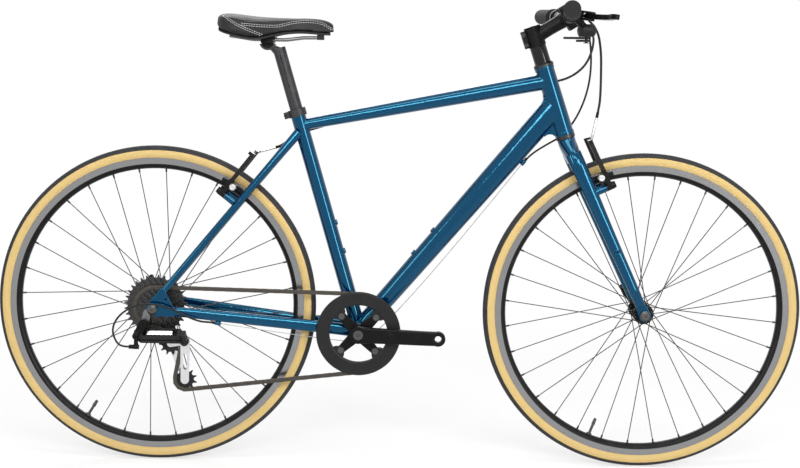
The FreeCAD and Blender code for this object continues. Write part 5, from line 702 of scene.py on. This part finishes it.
class BICYCLE_OT_saddle(bpy.types.Operator):
    """Inflates the saddle's cover over its base and sews its seams"""

    bl_idname = "bicycle.saddle"
    bl_label = "Pad saddle"

    def execute(self, context):
        sizes = context.scene.bicycle_sizes
        colours = context.scene.bicycle_finishes
        cover = self.make_cover(context, sizes, saddle_hide(colours.hide))
        self.sew(context, cover, plain_finish("saddle_thread", colours.thread, 0.6))
        return {"FINISHED"}

    def make_cover(self, context, sizes, hide):
        mesh = NODES["saddle_cover"].data.copy()
        cover = keep_mesh("saddle_padding", mesh, hide, "saddle")
        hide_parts("saddle_cover")
        context.view_layer.objects.active = cover
        remesh = cover.modifiers.new("even", "REMESH")
        remesh.mode = "VOXEL"
        remesh.voxel_size = sizes.voxel
        smooth = cover.modifiers.new("soften", "SMOOTH")
        smooth.iterations = SOFTEN_STEPS
        self.settle(context, cover)
        rest = [vertex.co.copy() for vertex in cover.data.vertices]
        normals = [vertex.normal.copy() for vertex in cover.data.vertices]
        held = cover.vertex_groups.new(name="held")
        for vertex, normal in zip(cover.data.vertices, normals):
            if normal.z < PINNED_FACING:
                held.add([vertex.index], 1.0, "REPLACE")
            else:
                vertex.co -= normal * COVER_SINK
        self.inflate(context, cover, sizes)
        for vertex, place in zip(cover.data.vertices, rest):
            move = vertex.co - place
            if move.length > sizes.swell:
                vertex.co = place + move.normalized() * sizes.swell
        crown = cover.modifiers.new("crown", "SUBSURF")
        crown.levels = 1
        crown.render_levels = 1
        self.settle(context, cover)
        cover.data.materials.clear()
        cover.data.materials.append(hide)
        for face in cover.data.polygons:
            face.use_smooth = True
        return cover

    def settle(self, context, cover):
        """Puts the modifiers' result into the mesh and removes them."""
        context.view_layer.update()
        shaped = bpy.data.meshes.new_from_object(cover.evaluated_get(context.evaluated_depsgraph_get()))
        cover.modifiers.clear()
        cover.data = shaped

    def inflate(self, context, cover, sizes):
        cloth = cover.modifiers.new("padding", "CLOTH")
        cloth.settings.use_pressure = True
        cloth.settings.uniform_pressure_force = sizes.pressure
        cloth.settings.vertex_group_mass = "held"
        cloth.settings.effector_weights.gravity = 0.0
        cloth.settings.quality = CLOTH_QUALITY
        cloth.point_cache.frame_end = sizes.cloth_frames
        for step in range(1, sizes.cloth_frames + 1):
            context.scene.frame_set(step)
        self.settle(context, cover)
        context.scene.frame_set(1)

    def sew(self, context, cover, thread):
        context.view_layer.update()
        made = bmesh.new()
        for seam in (REAR_PANEL_SEAM, NOSE_SEAM):
            for side in (-1.0, 1.0):
                for shift in (0.0, SEAM_GAP):
                    self.stitch(made, cover, side, [(x, 0.0, z - shift) for x, z in seam])
        mesh = bpy.data.meshes.new("saddle_stitches")
        made.to_mesh(mesh)
        made.free()
        keep_mesh("saddle_stitches", mesh, thread, "saddle")

    def stitch(self, made, cover, side, seam):
        """Short threads along a seam that is given in side view, laid on the cover from that side."""
        line = curve_mesh(seam, 0.0)
        places = [vertex.co.copy() for vertex in line.vertices]
        bpy.data.meshes.remove(line)
        travelled = 0.0
        for here, ahead in zip(places, places[1:]):
            step = ahead - here
            while travelled < step.length:
                way = step.normalized()
                start = self.laid(cover, side, here + way * travelled)
                end = self.laid(cover, side, here + way * travelled + way * STITCH_LENGTH)
                if start is not None and end is not None:
                    self.add_thread(made, start, end)
                travelled += STITCH_PITCH
            travelled -= step.length

    def laid(self, cover, side, spot):
        """Where a point of the side view meets the cover."""
        outside = Vector((spot.x, side * BESIDE_SADDLE, spot.z))
        hit, where, normal, index = cover.ray_cast(outside, Vector((0.0, -side, 0.0)))
        return where + normal * STITCH_LIFT if hit else None

    def add_thread(self, made, start, end):
        way = end - start
        half = way.length / 2
        belly = way.length / STITCH_LENGTH
        shares = ((0.0, 0.3), (0.25, 0.85), (belly, 1.0), (1.75, 0.85), (2.0, 0.3))
        profile = [(along * half, share * STITCH_RADIUS) for along, share in shares]
        mesh = turned_mesh(start, way, profile, STITCH_SIDES)
        made.from_mesh(mesh)
        bpy.data.meshes.remove(mesh)


# Pieces

HANGER_ALLOY = (0.16, 0.16, 0.165)
SPOKE_STEEL = (0.035, 0.035, 0.037)
TUBE_RUBBER = (0.03, 0.03, 0.03)
AXLE_STEEL = (0.1, 0.1, 0.1)
RING_STEEL = (0.06, 0.06, 0.06)
BOLT_STEEL = (0.09, 0.09, 0.09)
CASSETTE_STEEL = (0.055, 0.055, 0.055)
BEARING_STEEL = (0.2, 0.2, 0.2)
BAR_ALLOY = (0.028, 0.028, 0.03)
HEADSET_STEEL = (0.05, 0.05, 0.05)
POST_ALLOY = (0.035, 0.035, 0.037)
RAIL_STEEL = (0.16, 0.16, 0.165)


class BICYCLE_OT_paint(bpy.types.Operator):
    """Paints the frame and fork"""

    bl_idname = "bicycle.paint"
    bl_label = "Paint frame and fork"

    def execute(self, context):
        colours = context.scene.bicycle_finishes
        dress(gloss_paint(colours.paint), "frame", "fork")
        dress(satin_alloy("hanger_alloy", HANGER_ALLOY, 0.4, 0.8), "derailleur_hanger")
        return {"FINISHED"}


class BICYCLE_OT_wheels(bpy.types.Operator):
    """Finishes tyres, rims, spokes and hubs"""

    bl_idname = "bicycle.wheels"
    bl_label = "Finish wheels"

    def execute(self, context):
        colours = context.scene.bicycle_finishes
        for which in WHEEL_CENTRES:
            dress(tyre_rubber(which, colours.tan, colours.tread), which + "_tyre")
            dress(rim_alloy(which, colours.black, colours.silver), which + "_rim")
        dress(plain_finish("spoke_steel", SPOKE_STEEL, 0.34, 0.7), "front_spokes", "rear_spokes")
        dress(plain_finish("tube_rubber", TUBE_RUBBER, 0.6), "front_inner_tube", "rear_inner_tube")
        dress(satin_alloy("hub_alloy", colours.black, 0.32), "front_hub", "rear_hub", "front_qr_lever",
              "rear_qr_lever")
        dress(bright_metal("axle_steel", AXLE_STEEL, 0.3), "front_axle", "rear_axle")
        return {"FINISHED"}


class BICYCLE_OT_drivetrain(bpy.types.Operator):
    """Finishes cranks, chain, cassette and derailleur"""

    bl_idname = "bicycle.drivetrain"
    bl_label = "Finish drivetrain"

    def execute(self, context):
        colours = context.scene.bicycle_finishes
        dress(satin_alloy("crank_alloy", colours.black, 0.34), "crank_right", "crank_left")
        dress(moulded_plastic("guard_plastic", colours.plastic, 0.36), "chain_guard")
        dress(bright_metal("ring_steel", RING_STEEL, 0.36), "chainring")
        dress(bright_metal("bolt_steel", BOLT_STEEL, 0.3), "crankset_bolts", "crank_spindle", "freehub_body")
        dress(bright_metal("cassette_steel", CASSETTE_STEEL, 0.3, 0.4), "cassette")
        dress(bright_metal("chain_steel", colours.chain, 0.34, 0.6), "chain")
        dress(bright_metal("bearing_steel", BEARING_STEEL, 0.3), "bottom_bracket_cartridge")
        dress(link_alloy(colours.black, colours.silver), "derailleur_outer_link")
        dress(bright_metal("cage_steel", colours.silver, 0.28), "derailleur_cage")
        dress(satin_alloy("derailleur_alloy", colours.black, 0.38), "derailleur_b_knuckle",
              "derailleur_inner_link")
        dress(moulded_plastic("derailleur_plastic", colours.plastic, 0.42), "derailleur_p_knuckle",
              "guide_pulley", "tension_pulley")
        return {"FINISHED"}


class BICYCLE_OT_cockpit(bpy.types.Operator):
    """Finishes stem, handlebar, levers and headset"""

    bl_idname = "bicycle.cockpit"
    bl_label = "Finish cockpit"

    def execute(self, context):
        colours = context.scene.bicycle_finishes
        dress(satin_alloy("stem_alloy", colours.black, 0.36), "stem", "stem_faceplate", "stem_cap")
        dress(satin_alloy("bar_alloy", BAR_ALLOY, 0.4), "handlebar")
        dress(satin_alloy("spacer_alloy", colours.black, 0.14, 0.2, 0.00001, 0.35), "headset_spacers")
        dress(bright_metal("headset_steel", HEADSET_STEEL, 0.3), "headset_bearings", "stem_bolts")
        dress(grip_rubber(colours.rubber), "grips")
        dress(satin_alloy("lever_alloy", colours.black, 0.3), "brake_lever_right", "brake_lever_left",
              "brake_lever_brackets")
        dress(moulded_plastic("shifter_plastic", colours.plastic, 0.4), "shifter_body", "shift_thumb_lever",
              "shift_release_lever")
        return {"FINISHED"}


PAD_BOLTS = {"front": Vector((0.4227, 0.0, 0.6351)), "rear": Vector((-0.3569, 0.0, 0.6032))}


class BICYCLE_OT_brakes(bpy.types.Operator):
    """Finishes the four brake arms"""

    bl_idname = "bicycle.brakes"
    bl_label = "Finish brakes"

    def execute(self, context):
        colours = context.scene.bicycle_finishes
        for which, bolt in PAD_BOLTS.items():
            dress(brake_alloy(which, bolt, colours.black, colours.silver), which + "_brake_arm_right",
                  which + "_brake_arm_left")
        return {"FINISHED"}


class BICYCLE_OT_seat(bpy.types.Operator):
    """Finishes the seatpost, collar, clamp, rails and saddle base"""

    bl_idname = "bicycle.seat"
    bl_label = "Finish seat"

    def execute(self, context):
        colours = context.scene.bicycle_finishes
        dress(satin_alloy("post_alloy", POST_ALLOY, 0.36), "seatpost", "seat_collar")
        dress(satin_alloy("clamp_alloy", colours.black, 0.38), "saddle_clamp")
        dress(bright_metal("rail_steel", RAIL_STEEL, 0.3), "saddle_rails")
        dress(moulded_plastic("base_plastic", colours.plastic, 0.45), "saddle_base")
        return {"FINISHED"}


SHADOW_VEIL = 0.55
SHADOW_FADE = (1.0, 1.9)
FLOOR_HALF = 9.0
FLOOR_CORNERS = ((-FLOOR_HALF, -FLOOR_HALF, 0), (FLOOR_HALF, -FLOOR_HALF, 0), (FLOOR_HALF, FLOOR_HALF, 0),
                 (-FLOOR_HALF, FLOOR_HALF, 0))
WHITE = (1.0, 1.0, 1.0)
LAMP_AIM = Vector((0.0, 0.0, 0.45))
LAMPS = {"overhead": ((0.1, -0.85, 2.6), 2.8, 0.5), "strip": ((0.1, -3.2, 2.1), 2.8, 0.8),
         "tall": ((2.2, -2.8, 1.2), 0.7, 1.8), "fill": ((-2.4, -2.6, 1.2), 0.6, 1.8),
         "back": ((-0.3, 2.8, 2.6), 2.6, 1.0)}
SENSOR_WIDTH = 36.0
VIEW_REACH = 50.0


class BICYCLE_OT_studio(bpy.types.Operator):
    """Sets the pale floor, the soft lights and the camera"""

    bl_idname = "bicycle.studio"
    bl_label = "Set studio"

    def execute(self, context):
        studio = context.scene.bicycle_studio
        self.set_floor(context, studio)
        self.set_world(context, studio)
        self.set_lamps(context, studio)
        self.set_camera(context, studio)
        context.scene.view_settings.view_transform = "Standard"
        return {"FINISHED"}

    def set_floor(self, context, studio):
        mesh = bpy.data.meshes.new("floor")
        mesh.from_pydata(FLOOR_CORNERS, [], [(0, 1, 2, 3)])
        floor = bpy.data.objects.new("floor", mesh)
        context.collection.objects.link(floor)
        finish = Finish("floor_paper")
        x, y, z = finish.axes()
        away = (x * x + y * y) ** 0.5
        paper = finish.node("ShaderNodeBsdfDiffuse", None, {"Color": studio.floor})
        glow = finish.node("ShaderNodeEmission", None, {"Color": WHITE, "Strength": 1.0})
        blank = SHADOW_VEIL + away.between(*SHADOW_FADE) * (1.0 - SHADOW_VEIL)
        seen = finish.background_rays() * blank
        surface = finish.node("ShaderNodeMixShader", None, {0: seen, 1: paper, 2: glow})
        finish.node("ShaderNodeOutputMaterial", None, {"Surface": surface})
        mesh.materials.append(finish.material)

    def set_world(self, context, studio):
        world = bpy.data.worlds.new("studio")
        context.scene.world = world
        world.use_nodes = True
        shading = Shading(world.node_tree)
        strength = studio.sky + shading.background_rays() * (1.0 - studio.sky)
        sky = shading.node("ShaderNodeBackground", None, {"Color": WHITE, "Strength": strength})
        shading.node("ShaderNodeOutputWorld", None, {"Surface": sky})

    def set_lamps(self, context, studio):
        for name, (place, long, wide) in LAMPS.items():
            lamp = bpy.data.lights.new(name, "AREA")
            lamp.shape = "RECTANGLE"
            lamp.energy = getattr(studio, name)
            lamp.size = long
            lamp.size_y = wide
            holder = bpy.data.objects.new(name, lamp)
            context.collection.objects.link(holder)
            turn = (LAMP_AIM - Vector(place)).to_track_quat("-Z", "Y").to_matrix().to_4x4()
            holder.matrix_world = Matrix.Translation(place) @ turn

    def set_camera(self, context, studio):
        level = math.cos(studio.pitch)
        view = Vector((math.sin(studio.yaw) * level, math.cos(studio.yaw) * level, math.sin(studio.pitch)))
        right = Vector((math.cos(studio.yaw), -math.sin(studio.yaw), 0.0))
        up = right.cross(view)
        across = right * math.cos(studio.roll) + up * math.sin(studio.roll)
        above = up * math.cos(studio.roll) - right * math.sin(studio.roll)
        turn = Matrix((across, above, -view)).transposed().to_4x4()
        lens = bpy.data.cameras.new("photo_camera")
        lens.sensor_fit = "HORIZONTAL"
        lens.sensor_width = SENSOR_WIDTH
        lens.lens = studio.lens
        lens.clip_end = VIEW_REACH
        camera = bpy.data.objects.new("photo_camera", lens)
        context.collection.objects.link(camera)
        camera.matrix_world = Matrix.Translation(studio.eye) @ turn
        context.scene.camera = camera


PIECES = (BICYCLE_OT_paint, BICYCLE_OT_wheels, BICYCLE_OT_drivetrain, BICYCLE_OT_cockpit, BICYCLE_OT_brakes,
          BICYCLE_OT_seat, BICYCLE_OT_cables, BICYCLE_OT_saddle, BICYCLE_OT_studio)


class BICYCLE_PT_sidebar(bpy.types.Panel):
    """Lists the bicycle's pieces, sizes and colours"""

    bl_idname = "BICYCLE_PT_sidebar"
    bl_label = "Hybrid bicycle"
    bl_space_type = "VIEW_3D"
    bl_region_type = "UI"
    bl_category = "Bicycle"

    def draw(self, context):
        for piece in PIECES:
            self.layout.operator(piece.bl_idname)
        scene = context.scene
        for group in (scene.bicycle_finishes, scene.bicycle_sizes, scene.bicycle_studio):
            box = self.layout.box()
            for key in group.bl_rna.properties.keys():
                if key not in ("rna_type", "name"):
                    box.prop(group, key)


CLASSES = (BicycleFinishes, BicycleSizes, BicycleStudio, *PIECES, BICYCLE_PT_sidebar)


def register():
    for made in CLASSES:
        bpy.utils.register_class(made)
    bpy.types.Scene.bicycle_finishes = PointerProperty(type=BicycleFinishes)
    bpy.types.Scene.bicycle_sizes = PointerProperty(type=BicycleSizes)
    bpy.types.Scene.bicycle_studio = PointerProperty(type=BicycleStudio)


def unregister():
    del bpy.types.Scene.bicycle_finishes
    del bpy.types.Scene.bicycle_sizes
    del bpy.types.Scene.bicycle_studio
    for made in reversed(CLASSES):
        bpy.utils.unregister_class(made)


def main():
    register()
    for piece in PIECES:
        group, name = piece.bl_idname.split(".")
        getattr(getattr(bpy.ops, group), name)()


if __name__ == "__main__":
    main()
